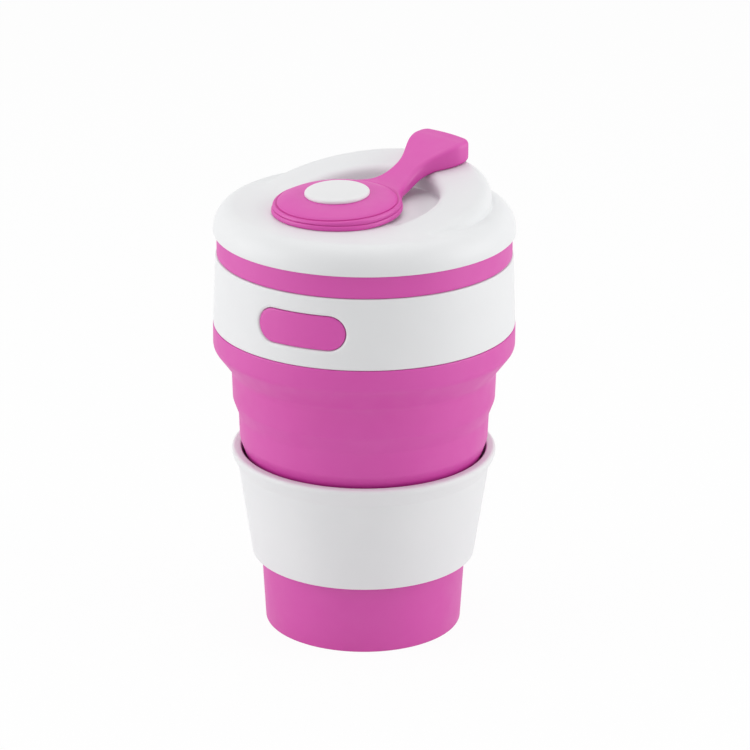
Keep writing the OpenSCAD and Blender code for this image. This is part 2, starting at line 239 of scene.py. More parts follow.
def rounded_path(corners: Sequence[Corner], spacing: float, closed: bool) -> np.ndarray:
    """Lay a path through corners, each replaced by an arc of its own radius.

    An arc's centre lies on the bisector of its corner, at the radius over the sine of half the corner's
    angle, and the arc touches both sides at the radius over the tangent of that half angle.

    Args:
        corners: Corners in order.
        spacing: Longest straight stretch between points.
        closed: Whether the last corner joins the first.

    Returns:
        Rows of radius and height.
    """
    flat = np.array([(corner.r, corner.z) for corner in corners])
    arc_step = math.radians(ARC_STEP_DEG)
    pieces: list[np.ndarray] = []
    for i, corner in enumerate(corners):
        if corner.rounding == 0.0 or (not closed and i in (0, len(corners) - 1)):
            pieces.append(flat[i][None])
            continue
        to_last = flat[i - 1] - flat[i]
        to_next = flat[(i + 1) % len(flat)] - flat[i]
        to_last /= np.linalg.norm(to_last)
        to_next /= np.linalg.norm(to_next)
        half = math.acos(float(np.clip(to_last @ to_next, -1.0, 1.0))) / 2
        bisector = (to_last + to_next) / np.linalg.norm(to_last + to_next)
        centre = flat[i] + bisector * corner.rounding / math.sin(half)
        reach = corner.rounding / math.tan(half)
        first = flat[i] + to_last * reach - centre
        last = flat[i] + to_next * reach - centre
        start = math.atan2(first[1], first[0])
        turn = (math.atan2(last[1], last[0]) - start + math.pi) % (2 * math.pi) - math.pi
        steps = max(2, math.ceil(abs(turn) / arc_step))
        angle = start + turn * np.linspace(0.0, 1.0, steps + 1)
        pieces.append(centre + corner.rounding * np.stack([np.cos(angle), np.sin(angle)], -1))
    return divided(np.concatenate(pieces), spacing, closed)


@dataclass
class Surface:
    """Mesh of points in millimetres and faces of four corners.

    Attributes:
        points: Rows of x, y and z.
        faces: Rows of four point numbers.
    """

    points: np.ndarray
    faces: np.ndarray

    @classmethod
    def of_grid(cls, grid: np.ndarray, wrap_u: bool = False, wrap_v: bool = False) -> "Surface":
        """Join the points of a grid to their neighbours.

        Args:
            grid: Points by column and row, with x, y and z last.
            wrap_u: Whether the last column joins the first.
            wrap_v: Whether the last row joins the first.

        Returns:
            The grid's surface.
        """
        columns, rows = grid.shape[:2]
        u = np.arange(columns if wrap_u else columns - 1)[:, None]
        v = np.arange(rows if wrap_v else rows - 1)[None, :]
        u_next = (u + 1) % columns
        v_next = (v + 1) % rows
        corners = [u * rows + v, u_next * rows + v, u_next * rows + v_next, u * rows + v_next]
        return cls(grid.reshape(-1, 3), np.stack(corners, -1).reshape(-1, 4))

    def joined(self, *others: "Surface") -> "Surface":
        """Put surfaces into one mesh, where points that meet become one point later.

        Args:
            others: Surfaces to add to this one.

        Returns:
            The joined surface.
        """
        parts = (self, *others)
        firsts = np.cumsum([0] + [len(part.points) for part in parts[:-1]])
        faces = [part.faces + first for part, first in zip(parts, firsts)]
        return Surface(np.concatenate([part.points for part in parts]), np.concatenate(faces))

    def moved(self, x: float = 0.0, y: float = 0.0, z: float = 0.0) -> "Surface":
        """Shift the surface."""
        return Surface(self.points + np.array([x, y, z]), self.faces)

    def tilted(self, slope: float, start: float = 0.0, end: float = 1.0) -> "Surface":
        """Raise each point by the slope times its y, fading in between two heights."""
        lift = slope * self.points[:, 1] * soft_step(self.points[:, 2], start, end)
        return Surface(self.points + np.outer(lift, [0.0, 0.0, 1.0]), self.faces)

    def mirrored(self) -> "Surface":
        """Mirror the surface across the plane x = 0 and turn its faces round."""
        return Surface(self.points * np.array([-1.0, 1.0, 1.0]), self.faces[:, ::-1])

    def to_object(self, name: str, material: bpy.types.Material) -> bpy.types.Object:
        """Make the closed mesh: points that meet are merged and the faces are turned outwards.

        Args:
            name: Name of the piece.
            material: Finish of the whole piece.

        Returns:
            The piece's object, at the origin.
        """
        used, faces = np.unique(self.faces, return_inverse=True)
        points = self.points[used] * MM
        mesh = bpy.data.meshes.new(name)
        mesh.from_pydata(points.tolist(), [], faces.reshape(-1, 4).tolist())
        work = bmesh.new()
        work.from_mesh(mesh)
        bmesh.ops.remove_doubles(work, verts=work.verts, dist=MERGE_MM * MM)
        bmesh.ops.recalc_face_normals(work, faces=work.faces)
        open_edges = sum(not edge.is_manifold for edge in work.edges)
        work.to_mesh(mesh)
        work.free()
        mesh.shade_smooth()
        mesh.set_sharp_from_angle(angle=math.radians(SHARP_EDGE_DEG))
        mesh.materials.append(material)
        piece = bpy.data.objects.new(name, mesh)
        bpy.context.scene.collection.objects.link(piece)
        LOG.info("%s: %d faces, %d open edges", name, len(mesh.polygons), open_edges)
        return piece


def turned(path: np.ndarray, columns: int, closed: bool) -> Surface:
    """Turn a profile round the Z axis.

    Args:
        path: Rows of radius and height.
        columns: Number of steps round the axis.
        closed: Whether the profile is a closed loop.

    Returns:
        The turned surface.
    """
    grid = around(path[:, 0], full_turn(columns), path[:, 1])
    return Surface.of_grid(grid, wrap_u=True, wrap_v=closed)


def edge_drop(inset: np.ndarray, rounding: float) -> np.ndarray:
    """Depth of a rounded edge below its face: R minus the root of R squared less (R - inset) squared.

    Args:
        inset: Distance in from the edge.
        rounding: Radius of the edge.

    Returns:
        The depth at each distance, 0 past the rounding.
    """
    left = np.clip(rounding - inset, 0.0, rounding)
    return rounding - np.sqrt(rounding**2 - left**2)


def edge_insets(rounding: float, degrees: Sequence[float]) -> np.ndarray:
    """Distances in from a rounded edge at steps round its quarter arc: R times (1 - sine)."""
    return rounding * (1 - np.sin(np.radians(degrees)))


def slot_reach(angle: np.ndarray, half_length: float, half_height: float) -> np.ndarray:
    """Distance from the middle of a round-ended slot to its outline, in each direction.

    A ray meets a straight side at half the height over its sine, or else an end circle, whose centre
    lies a along the slot, at a cos + root(R squared - (a sin) squared).

    Args:
        angle: Directions, from the slot's length.
        half_length: Half of the slot's whole length.
        half_height: Half of its height, which is the radius of its ends.

    Returns:
        The distance in each direction.
    """
    cosine, sine = np.abs(np.cos(angle)), np.abs(np.sin(angle))
    straight = half_length - half_height
    under_root = np.clip(half_height**2 - (straight * sine) ** 2, 0.0, None)
    to_end = straight * cosine + np.sqrt(under_root)
    to_side = half_height / np.maximum(sine, 1e-6)
    return np.where(half_height * cosine <= straight * sine, to_side, to_end)


@dataclass
class HoledGrid:
    """Grid that closes round its columns, with a block of cells replaced by rings round a hole.

    Attributes:
        columns: Number of columns, the last of which joins the first.
        rows: Number of rows.
        block: First and last column, then first and last row of the replaced block.
        rings: Number of rings between the block's border and the hole.
    """

    columns: int
    rows: int
    block: tuple[int, int, int, int]
    rings: int

    def border(self) -> np.ndarray:
        """Number the points of the block's border.

        Returns:
            Point numbers, in order round the block.
        """
        left, right, low, high = self.block
        along = np.arange(left, right)
        up = np.arange(low, high)
        column = np.concatenate([along, np.full(len(up), right), along[::-1] + 1, np.full(len(up), left)])
        row = np.concatenate([np.full(len(along), low), up, np.full(len(along), high), up[::-1] + 1])
        return column * self.rows + row

    def hole(self) -> np.ndarray:
        """Point numbers of the innermost ring."""
        count = len(self.border())
        return self.columns * self.rows + (self.rings - 1) * count + np.arange(count)

    def faces(self) -> np.ndarray:
        """Find the corners of the cells outside the block and of the cells between the rings.

        Returns:
            Point numbers, four to a cell.
        """
        left, right, low, high = self.block
        column = np.repeat(np.arange(self.columns), self.rows - 1)
        row = np.tile(np.arange(self.rows - 1), self.columns)
        inside = (column >= left) & (column < right) & (row >= low) & (row < high)
        column, row = column[~inside], row[~inside]
        here, beside = column * self.rows + row, (column + 1) % self.columns * self.rows + row
        cells = np.stack([here, beside, beside + 1, here + 1], -1)
        border = self.border()
        ring = self.columns * self.rows + np.arange(self.rings * len(border)).reshape(self.rings, -1)
        loops = np.vstack([border[None], ring])
        outer, inner = loops[:-1], loops[1:]
        between = [outer, np.roll(outer, -1, axis=1), np.roll(inner, -1, axis=1), inner]
        return np.concatenate([cells, np.stack(between, -1).reshape(-1, 4)])


def strip(first: np.ndarray, second: np.ndarray) -> Surface:
    """Join two closed loops of the same number of points by a band of faces."""
    return Surface.of_grid(np.stack([first, second], 1), wrap_u=True)


class NodeGraph:
    """Shader nodes of one material, added and linked in short calls."""

    def __init__(self, name: str) -> None:
        """Start an empty material.

        Args:
            name: Name of the material.
        """
        self.material = bpy.data.materials.new(name)
        self.material.use_nodes = True
        self.tree = self.material.node_tree
        self.tree.nodes.clear()

    def add(self, kind: str, **values: object) -> bpy.types.Node:
        """Add a node and set its inputs, or its own properties where it has no such input.

        Args:
            kind: Node type.
            values: Values by input name, with _ for a space.

        Returns:
            The new node.
        """
        node = self.tree.nodes.new(kind)
        for key, value in values.items():
            socket = node.inputs.get(key.replace("_", " "))
            if socket is None:
                setattr(node, key, value)
            else:
                socket.default_value = value
        return node

    def link(self, source: bpy.types.NodeSocket, target: bpy.types.NodeSocket) -> None:
        """Carry one socket's value to another."""
        self.tree.links.new(source, target)

    def noise(self, scale: float, detail: float, position: bpy.types.NodeSocket) -> bpy.types.NodeSocket:
        """Add a noise pattern.

        Args:
            scale: Number of features per metre.
            detail: Number of finer layers.
            position: Where the pattern is read.

        Returns:
            The pattern's value, about 0.5 in the middle.
        """
        node = self.add("ShaderNodeTexNoise", Scale=scale, Detail=detail)
        self.link(position, node.inputs["Vector"])
        return node.outputs["Fac"]

    def ranged(self, value: bpy.types.NodeSocket, low: float, high: float) -> bpy.types.NodeSocket:
        """Spread a noise pattern's middle part over a range.

        Args:
            value: The pattern.
            low: Result where the pattern is low.
            high: Result where it is high.

        Returns:
            The spread value.
        """
        node = self.add("ShaderNodeMapRange", From_Min=NOISE_LOW, From_Max=NOISE_HIGH,
                        To_Min=low, To_Max=high)
        self.link(value, node.inputs["Value"])
        return node.outputs["Result"]


Colour = tuple[float, float, float]


@dataclass(frozen=True)
class MouldedFinish:
    """Finish of a moulding that takes the fine matt grain of its eroded steel mould.

    Attributes:
        name: Name of the material.
        colour: Colour of most of the surface, linear.
        pale: Colour of the slightly paler clouds in it, linear.
        roughness: Least and greatest roughness.
        grain: Number of grains per metre.
        grain_depth: Depth of the grain in metres.
        specular: Strength of the plain reflection, 0.5 for a refractive index of 1.5.
        clouds: Number of clouds per metre.
        smudges: Number of smoother and rougher smudges per metre.
        waves: Number of broad waves per metre.
        wave_depth: Depth of the waves, in depths of the grain.
        grain_strength: Share of the grain's bump that shows.
        wave_strength: Share of the waves' bump that shows.
    """

    name: str
    colour: Colour
    pale: Colour
    roughness: tuple[float, float]
    grain: float
    grain_depth: float
    specular: float
    clouds: float = 45.0
    smudges: float = 160.0
    waves: float = 70.0
    wave_depth: float = 4.0
    grain_strength: float = 0.5
    wave_strength: float = 0.25

    def material(self) -> bpy.types.Material:
        """Build the material: cloudy tint, uneven roughness and a two-scale grain in the bump.

        Returns:
            The new material.
        """
        graph = NodeGraph(self.name)
        place = graph.add("ShaderNodeTexCoord").outputs["Object"]
        clouds = graph.noise(self.clouds, 3.0, place)
        smudges = graph.noise(self.smudges, 4.0, place)
        grain = graph.noise(self.grain, 2.0, place)
        waves = graph.noise(self.waves, 1.0, place)

        tint = graph.add("ShaderNodeMix", data_type="RGBA")
        graph.link(graph.ranged(clouds, 0.0, 1.0), tint.inputs["Factor"])
        tint.inputs["A"].default_value = (*self.colour, 1.0)
        tint.inputs["B"].default_value = (*self.pale, 1.0)

        fine = graph.add("ShaderNodeBump", Strength=self.grain_strength, Distance=self.grain_depth)
        graph.link(grain, fine.inputs["Height"])
        wave_depth = self.wave_depth * self.grain_depth
        broad = graph.add("ShaderNodeBump", Strength=self.wave_strength, Distance=wave_depth)
        graph.link(waves, broad.inputs["Height"])
        graph.link(fine.outputs["Normal"], broad.inputs["Normal"])

        shader = graph.add("ShaderNodeBsdfPrincipled", Specular_IOR_Level=self.specular)
        graph.link(tint.outputs["Result"], shader.inputs["Base Color"])
        graph.link(graph.ranged(smudges, *self.roughness), shader.inputs["Roughness"])
        graph.link(broad.outputs["Normal"], shader.inputs["Normal"])
        output = graph.add("ShaderNodeOutputMaterial")
        graph.link(shader.outputs["BSDF"], output.inputs["Surface"])
        return graph.material


SILICONE = MouldedFinish(
    name="pink_silicone",
    colour=(0.635, 0.036, 0.374),
    pale=(0.650, 0.042, 0.390),
    roughness=(0.46, 0.55),
    grain=2600.0,
    grain_depth=0.000012,
    specular=1.0,
)
POLYPROPYLENE = MouldedFinish(
    name="white_plastic",
    colour=(0.790, 0.798, 0.808),
    pale=(0.808, 0.814, 0.822),
    roughness=(0.40, 0.50),
    grain=3200.0,
    grain_depth=0.000008,
    specular=0.45,
)
GLOSSY_CAP = MouldedFinish(
    name="white_button",
    colour=(0.785, 0.788, 0.795),
    pale=(0.800, 0.802, 0.808),
    roughness=(0.28, 0.36),
    grain=3200.0,
    grain_depth=0.000005,
    specular=0.5,
)


@dataclass
class CupBody:
    """Silicone cup: base, fold wall, bead, groove for the collar, window pad, band and rim.

    The moulding is made as two pieces that meet just over the lower fold.

    Attributes:
        finish: Silicone.
        collar: The collar that lies in the wall's groove.
        base_r: Radius of the foot.
        wall: Thickness of the wall.
        floor_t: Height of the floor inside.
        foot_round: Rounding of the foot's edges.
        foot_ring_w: Width of the ring that the cup stands on.
        foot_hollow: Depth of the hollow inside that ring.
        hollow_round: Rounding of the hollow's corner.
        floor_round: Rounding between floor and wall.
        mid_h: Height of the narrow tier over the lower fold.
        step_h: Height of the slanted step over it.
        step_w: How much larger the radius is over the step.
        draft: How much each tier widens upwards.
        fold_round: Rounding of the folds.
        shoulder_round: Outer rounding of the shoulder under the upper fold.
        bead_round: Rounding of the bead under the collar.
        seam: How far the seams of the solids lie from the folds' corners.
        seam_draft: How much the upper tier widens from its solid's top to the shoulder.
        collar_fit: Play between wall and collar.
        groove_wall: Thickness of the wall behind the collar.
        band_set: How far the band over the collar is set in from it.
        band_h: Height of that band.
        rim_t: Thickness of the rim inside the lid.
        edge: Rounding of the other edges.
        spacing: Longest stretch of the profile between points.
        columns: Steps round the axis.
    """

    finish: bpy.types.Material
    collar: "Collar"
    base_r: float = 30.6
    wall: float = 2.2
    floor_t: float = 3.4
    foot_round: float = 0.6
    foot_ring_w: float = 4.0
    foot_hollow: float = 0.8
    hollow_round: float = 1.0
    floor_round: float = 4.0
    mid_h: float = 8.0
    step_h: float = 5.0
    step_w: float = 2.4
    draft: float = 0.3
    fold_round: float = 3.0
    shoulder_round: float = 4.2
    bead_round: float = 3.0
    seam: float = 1.0
    seam_draft: float = 0.03
    collar_fit: float = 0.1
    groove_wall: float = 1.8
    band_set: float = 0.4
    band_h: float = 6.8
    rim_t: float = 2.4
    edge: float = 0.4
    spacing: float = 0.9
    columns: int = 192

    def __post_init__(self) -> None:
        """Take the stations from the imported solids."""
        base, ring = NodeBox.of("cup_base"), NodeBox.of("fold_ring")
        fold, rim = NodeBox.of("low_fold"), NodeBox.of("cup_rim")
        self.lower_z, self.lower_r = base.top, base.radius
        self.taper = (self.lower_r - self.base_r) / self.lower_z
        self.mid_z = fold.top - self.seam
        self.step_z = self.mid_z + self.mid_h
        self.tier_z = self.step_z + self.step_h
        self.shoulder_z = ring.top + self.seam
        self.tier_r = ring.radius + self.seam_draft
        self.mid_r = self.tier_r - self.step_w
        self.bead_z, self.bead_r = rim.bottom, rim.radius
        self.collar_z = self.collar.low_z - self.collar_fit
        self.band_z = self.collar.high_z + self.collar_fit
        self.rim_z = rim.top
        self.split_z = fold.top

    def build(self) -> None:
        """Make both pieces."""
        low_outer, low_inner = self.lower_walls()
        high_outer, high_inner = self.upper_walls()
        cut_outer, cut_inner = self.wall_at_split(high_outer), self.wall_at_split(high_inner)

        corners = [*low_outer, high_outer[1], cut_outer, cut_inner, high_inner[1], *low_inner[::-1]]
        lower = turned(rounded_path(corners, self.spacing, closed=False), self.columns, closed=False)
        base = lower.to_object("cup_lower", self.finish)
        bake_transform(base)
        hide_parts("cup_base", "low_fold")

        corners = [cut_outer, *high_outer[2:], *high_inner[:1:-1], cut_inner]
        upper = turned(rounded_path(corners, self.spacing, closed=True), self.columns, closed=True)
        top = upper.joined(self.collar.pad()).to_object("cup_upper", self.finish)
        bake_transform(top)
        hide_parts("fold_ring", "top_fold", "cup_rim")

    def lower_walls(self) -> tuple[list[Corner], list[Corner]]:
        """List the corners of the base from the axis to the lower fold.

        Returns:
            Outer corners and inner corners, both upwards.
        """
        foot_r = self.base_r - self.foot_ring_w
        inside_r = self.base_r + self.taper * self.floor_t - self.wall
        outer = [
            Corner(0, self.foot_hollow),
            Corner(foot_r - 2 * self.foot_hollow, self.foot_hollow, self.hollow_round),
            Corner(foot_r, 0, self.foot_round),
            Corner(self.base_r, 0, self.foot_round),
            Corner(self.lower_r, self.lower_z, self.fold_round),
        ]
        inner = [
            Corner(0, self.floor_t),
            Corner(inside_r, self.floor_t, self.floor_round),
            Corner(self.lower_r - self.wall, self.lower_z, self.fold_round),
        ]
        return outer, inner

    def upper_walls(self) -> tuple[list[Corner], list[Corner]]:
        """List the corners from the top of the lower wall to the rim.

        Returns:
            Outer corners and inner corners, both upwards.
        """
        groove_t = self.collar.wall + self.collar_fit
        groove_low_r = self.collar.low_r - groove_t
        groove_top_r = self.collar.top_r - groove_t
        mouth_r = groove_top_r - self.groove_wall
        band_r = self.collar.top_r - self.band_set
        rim_r = mouth_r + self.rim_t
        lid_z = self.band_z + self.band_h
        soft = self.fold_round
        fold_wall = [
            Corner(self.lower_r, self.lower_z),
            Corner(self.mid_r, self.mid_z, soft),
            Corner(self.mid_r + self.draft, self.step_z, soft),
            Corner(self.tier_r - self.draft, self.tier_z, soft),
        ]
        outer = [
            *fold_wall,
            Corner(self.tier_r, self.shoulder_z, self.shoulder_round),
            Corner(self.bead_r, self.bead_z, self.bead_round),
            Corner(self.bead_r, self.collar_z, self.edge),
            Corner(groove_low_r, self.collar_z),
            Corner(groove_top_r, self.band_z),
            Corner(band_r, self.band_z, self.edge),
            Corner(band_r, lid_z, self.edge / 2),
            Corner(rim_r, lid_z),
            Corner(rim_r, self.rim_z, self.edge),
        ]
        inner = [
            *(corner._replace(r=corner.r - self.wall) for corner in fold_wall),
            Corner(self.tier_r - self.wall, self.shoulder_z, soft),
            Corner(mouth_r, self.bead_z, soft),
            Corner(mouth_r, self.rim_z, self.edge),
        ]
        return outer, inner

    def wall_at_split(self, corners: list[Corner]) -> Corner:
        """Point where a wall's rounded path passes the height at which the two pieces meet."""
        path = rounded_path(corners[:4], self.spacing / 4, closed=False)
        return Corner(float(np.interp(self.split_z, path[:, 1], path[:, 0])), self.split_z)


@dataclass
class Collar:
    """Stiff band round the upper wall, with a round-ended window, and the pad that fills the window.

    Attributes:
        finish: Plastic.
        draw: How much smaller the radius is at the band's top.
        wall: Thickness of the band.
        edge: Rounding of its upper and lower edge.
        window_w: Length of the window.
        window_h: Height of the window.
        window_deg: Direction of the window's middle from +X.
        window_fit: Play between window and pad.
        window_edge: Rounding of the window's edge.
        pad_sunk: How far the pad's face lies behind the band's.
        pad_edge: Rounding of the pad's edge.
        columns: Steps round the band.
        row_count: Rows between the band's rounded edges.
        block_columns: Columns on each side of the window's middle that make way for rings round it.
        block_margin: How far those rings reach above and below the window.
        pad_columns: Steps round the pad.
    """

    finish: bpy.types.Material
    draw: float = 0.8
    wall: float = 1.4
    edge: float = 0.4
    window_w: float = 28.8
    window_h: float = 10.7
    window_deg: float = -70.0
    window_fit: float = 0.12
    window_edge: float = 0.9
    pad_sunk: float = 0.2
    pad_edge: float = 0.4
    columns: int = 240
    row_count: int = 29
    block_columns: int = 16
    block_margin: float = 2.6
    pad_columns: int = 160

    def __post_init__(self) -> None:
        """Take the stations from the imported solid."""
        box = NodeBox.of("collar")
        self.low_z, self.high_z = box.bottom, box.top
        self.low_r = box.radius
        self.top_r = self.low_r - self.draw
        self.middle_z = (self.low_z + self.high_z) / 2
        self.half_h = (self.high_z - self.low_z) / 2
        self.window = math.radians(self.window_deg)

    def radius(self, z: np.ndarray) -> np.ndarray:
        """Outside radius of the tapered band at a height."""
        return self.low_r - self.draw * (z - self.low_z) / (self.high_z - self.low_z)

    def on_band(self, across: np.ndarray, z: np.ndarray, depth: np.ndarray) -> np.ndarray:
        """Place points on the band by their distance across the window's middle line.

        The angle from the window's middle is the arc sine of that distance over the radius.

        Args:
            across: Distance along the window's chord.
            z: Height.
            depth: Distance in from the band's outer face.

        Returns:
            Points with x, y and z last.
        """
        angle = self.window + np.arcsin(across / self.radius(z))
        return around(self.radius(z) - depth, angle, z)

    def row_heights(self) -> np.ndarray:
        """Heights of the band's rows from its middle, closer together on the two rounded edges.

        Returns:
            Heights from the lower edge to the upper edge.
        """
        curl = edge_insets(self.edge, np.linspace(0.0, 90.0, 5))
        flat = np.linspace(curl[0] - self.half_h, self.half_h - curl[0], self.row_count)
        return np.concatenate([curl[:0:-1] - self.half_h, flat, self.half_h - curl[1:]])

    def window_rings(self, across: np.ndarray, up: np.ndarray, shares: np.ndarray,
                     insets: np.ndarray) -> tuple[np.ndarray, np.ndarray]:
        """Lay rings from a border to the window's edge, along rays from the window's middle.

        Args:
            across: Distance of the border's points along the window's chord.
            up: Height of the border's points over the window's middle.
            shares: How far along the rays each ring on the flat of the band lies.
            insets: Distance from the window of each ring on its rounded edge.

        Returns:
            Distance along the chord and height, by ring and ray.
        """
        ray = np.arctan2(up, across)
        outlines = [slot_reach(ray, self.window_w / 2 + e, self.window_h / 2 + e) for e in insets]
        start = np.hypot(across, up)
        reaches = np.array([mix(start, outlines[0], share) for share in shares] + outlines)
        return reaches * np.cos(ray), self.middle_z + reaches * np.sin(ray)

    def build(self) -> None:
        """Make the band: outer and inner skins of the same grid, joined at the window and both edges."""
        rows = self.row_heights()
        inside = np.flatnonzero(np.abs(rows) <= self.window_h / 2 + self.block_margin)
        middle = self.columns // 2
        block = (middle - self.block_columns, middle + self.block_columns, inside[0], inside[-1])
        insets = edge_insets(self.window_edge, [0.0, 20.0, 40.0, 60.0, 75.0, 90.0])
        shares = np.linspace(0.2, 0.9, 5)
        grid = HoledGrid(self.columns, len(rows), block, len(shares) + len(insets))

        turn = self.window - math.pi + full_turn(self.columns)
        z = self.middle_z + rows[None, :] + 0 * turn
        drop = edge_drop(self.half_h - np.abs(rows), self.edge)[None, :]
        column, row = np.divmod(grid.border(), len(rows))
        across = self.radius(self.middle_z + rows[row]) * np.sin(turn[column, 0] - self.window)
        ring_across, ring_z = self.window_rings(across, rows[row], shares, insets)
        ring_drop = np.concatenate([np.zeros(len(shares)), edge_drop(insets, self.window_edge)])[:, None]

        def skin(sunk: Callable[[np.ndarray], np.ndarray]) -> np.ndarray:
            """Place the points of the grid and of its rings.

            Args:
                sunk: Depth of a point under the outer face, from the depth of the rounded edge there.

            Returns:
                Rows of points.
            """
            main = around(self.radius(z) - sunk(drop), turn, z)
            rings = self.on_band(ring_across, ring_z, sunk(ring_drop))
            return np.concatenate([main.reshape(-1, 3), rings.reshape(-1, 3)])

        outer = skin(lambda depth: depth)
        inner = skin(lambda depth: np.full_like(depth, self.wall))
        low_edge = np.arange(self.columns) * len(rows)
        loops = [grid.hole(), low_edge, low_edge + len(rows) - 1]
        bands = [strip(outer[loop], inner[loop]) for loop in loops]
        faces = grid.faces()
        surface = Surface(outer, faces).joined(Surface(inner, faces[:, ::-1]), *bands)
        piece = surface.to_object("collar_band", self.finish)
        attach(piece, Body.UPPER.value)
        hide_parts("collar")

    def pad(self) -> Surface:
        """Make the pad in the window: a closed round-ended block bent to the band.

        Returns:
            The pad's surface, a part of the cup's moulding.
        """
        rays = full_turn(self.pad_columns)[:, 0]
        half_w, half_h = self.window_w / 2 - self.window_fit, self.window_h / 2 - self.window_fit
        insets = edge_insets(self.pad_edge, np.linspace(0.0, 90.0, 7))[::-1]
        edge = [slot_reach(rays, half_w - e, half_h - e) for e in insets]
        face = [edge[-1] * share for share in np.linspace(0.9, 0.0, 10)]
        reaches = np.array([0 * rays, edge[0], *edge, *face])
        root = self.wall + self.window_fit
        curve = edge_drop(insets, self.pad_edge) + self.pad_sunk
        depth = np.concatenate([[root, root], curve, np.full(len(face), self.pad_sunk)])[:, None]
        grid = self.on_band(reaches * np.cos(rays), self.middle_z + reaches * np.sin(rays), depth)
        return Surface.of_grid(grid.swapaxes(0, 1), wrap_u=True)


@dataclass
class Sleeve:
    """Tapered hand guard with a flared lip, held on the lower wall by ribs inside it.

    Attributes:
        finish: Plastic.
        cup: The cup, whose lower wall the ribs reach.
        low_r: Radius of the lower edge.
        neck_r: Radius of the neck, where the lip begins to flare.
        wall: Thickness of the wall.
        lip_h: Height of the solid's lip over the neck.
        lip_t: Thickness of the lip at its top.
        lip_crest: How far the lip stands over the solid's.
        flare_h: Height of the flare.
        neck_round: Rounding of the neck.
        flare_round: Rounding at the top of the flare.
        lip_round: Rounding of the lip's outer edge.
        lip_in_round: Rounding of the lip's inner edge.
        edge: Rounding of the lower edge.
        rib_count: Number of ribs.
        rib_w: Width of a rib.
        rib_crest: Half the width of a rib's crest, in widths of a rib.
        rib_foot: Half the width of a rib's foot, in widths of a rib.
        rib_h: Height over the lower edge at which the ribs have run out.
        rib_lead: Heights over the lower edge at which the ribs begin and are full.
        rib_fit: Play between ribs and cup.
        rib_columns: Steps round the axis for each rib.
        spacing: Longest stretch of the profile between points.
    """

    finish: bpy.types.Material
    cup: CupBody
    low_r: float = 34.72
    neck_r: float = 39.05
    wall: float = 1.5
    lip_h: float = 5.0
    lip_t: float = 2.9
    lip_crest: float = 0.7
    flare_h: float = 3.9
    neck_round: float = 1.5
    flare_round: float = 2.8
    lip_round: float = 1.1
    lip_in_round: float = 0.55
    edge: float = 0.4
    rib_count: int = 72
    rib_w: float = 1.1
    rib_crest: float = 0.3
    rib_foot: float = 0.75
    rib_h: float = 16.0
    rib_lead: tuple[float, float] = (0.2, 1.2)
    rib_fit: float = 0.3
    rib_columns: int = 8
    spacing: float = 0.9

    def __post_init__(self) -> None:
        """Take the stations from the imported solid."""
        box = NodeBox.of("sleeve")
        self.low_z, self.top_z, self.lip_r = box.bottom, box.top + self.lip_crest, box.radius
        self.neck_z = box.top - self.lip_h

    def build(self) -> None:
        """Make the sleeve: a turned profile whose inner wall swells into ribs."""
        outside = [
            Corner(self.low_r, self.low_z, self.edge),
            Corner(self.neck_r, self.neck_z, self.neck_round),
            Corner(self.lip_r, self.neck_z + self.flare_h, self.flare_round),
            Corner(self.lip_r, self.top_z, self.lip_round),
        ]
        inside = [
            Corner(self.lip_r - self.lip_t, self.top_z, self.lip_in_round),
            Corner(self.neck_r - self.wall, self.neck_z, self.neck_round),
            Corner(self.low_r - self.wall, self.low_z, self.edge),
        ]
        path = rounded_path(outside + inside, self.spacing, closed=True)
        r, z = path[:, 0], path[:, 1]
        taper = (self.neck_r - self.low_r) / (self.neck_z - self.low_z)
        wall_r = self.low_r - self.wall + taper * (z - self.low_z)
        columns = self.rib_count * self.rib_columns
        turn = full_turn(columns)
        swell = np.where(r < wall_r + self.edge, self.rib_depth(z, wall_r), 0.0)[None, :] * self.rib(turn)
        surface = Surface.of_grid(around(r - swell, turn, z), wrap_u=True, wrap_v=True)
        piece = surface.to_object("hand_sleeve", self.finish)
        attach(piece, Body.SLEEVE.value)
        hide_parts("sleeve")

    def rib(self, turn: np.ndarray) -> np.ndarray:
        """Cross-section of the ribs: a soft step down on both sides of each crest.

        Args:
            turn: Angles round the sleeve.

        Returns:
            1 on a rib's crest and 0 between ribs.
        """
        pitch = 2 * np.pi / self.rib_count
        off = np.abs((turn + pitch / 2) % pitch - pitch / 2) * self.low_r
        return 1.0 - soft_step(off, self.rib_crest * self.rib_w, self.rib_foot * self.rib_w)

    def rib_depth(self, z: np.ndarray, wall_r: np.ndarray) -> np.ndarray:
        """Depth of the ribs at a height: up to the cup's wall, then running out at their top.

        Args:
            z: Height.
            wall_r: Radius of the sleeve's plain inner wall there.

        Returns:
            How far a rib's crest stands in from that wall.
        """
        cup_r = self.cup.base_r + self.cup.taper * z + self.rib_fit
        begin, full = self.rib_lead
        foot = soft_step(z, self.low_z + begin, self.low_z + full)
        run_out = 1.0 - soft_step(z, self.low_z + self.rib_h / 2, self.low_z + self.rib_h)
        return np.clip(wall_r - cup_r, 0.0, None) * foot * run_out


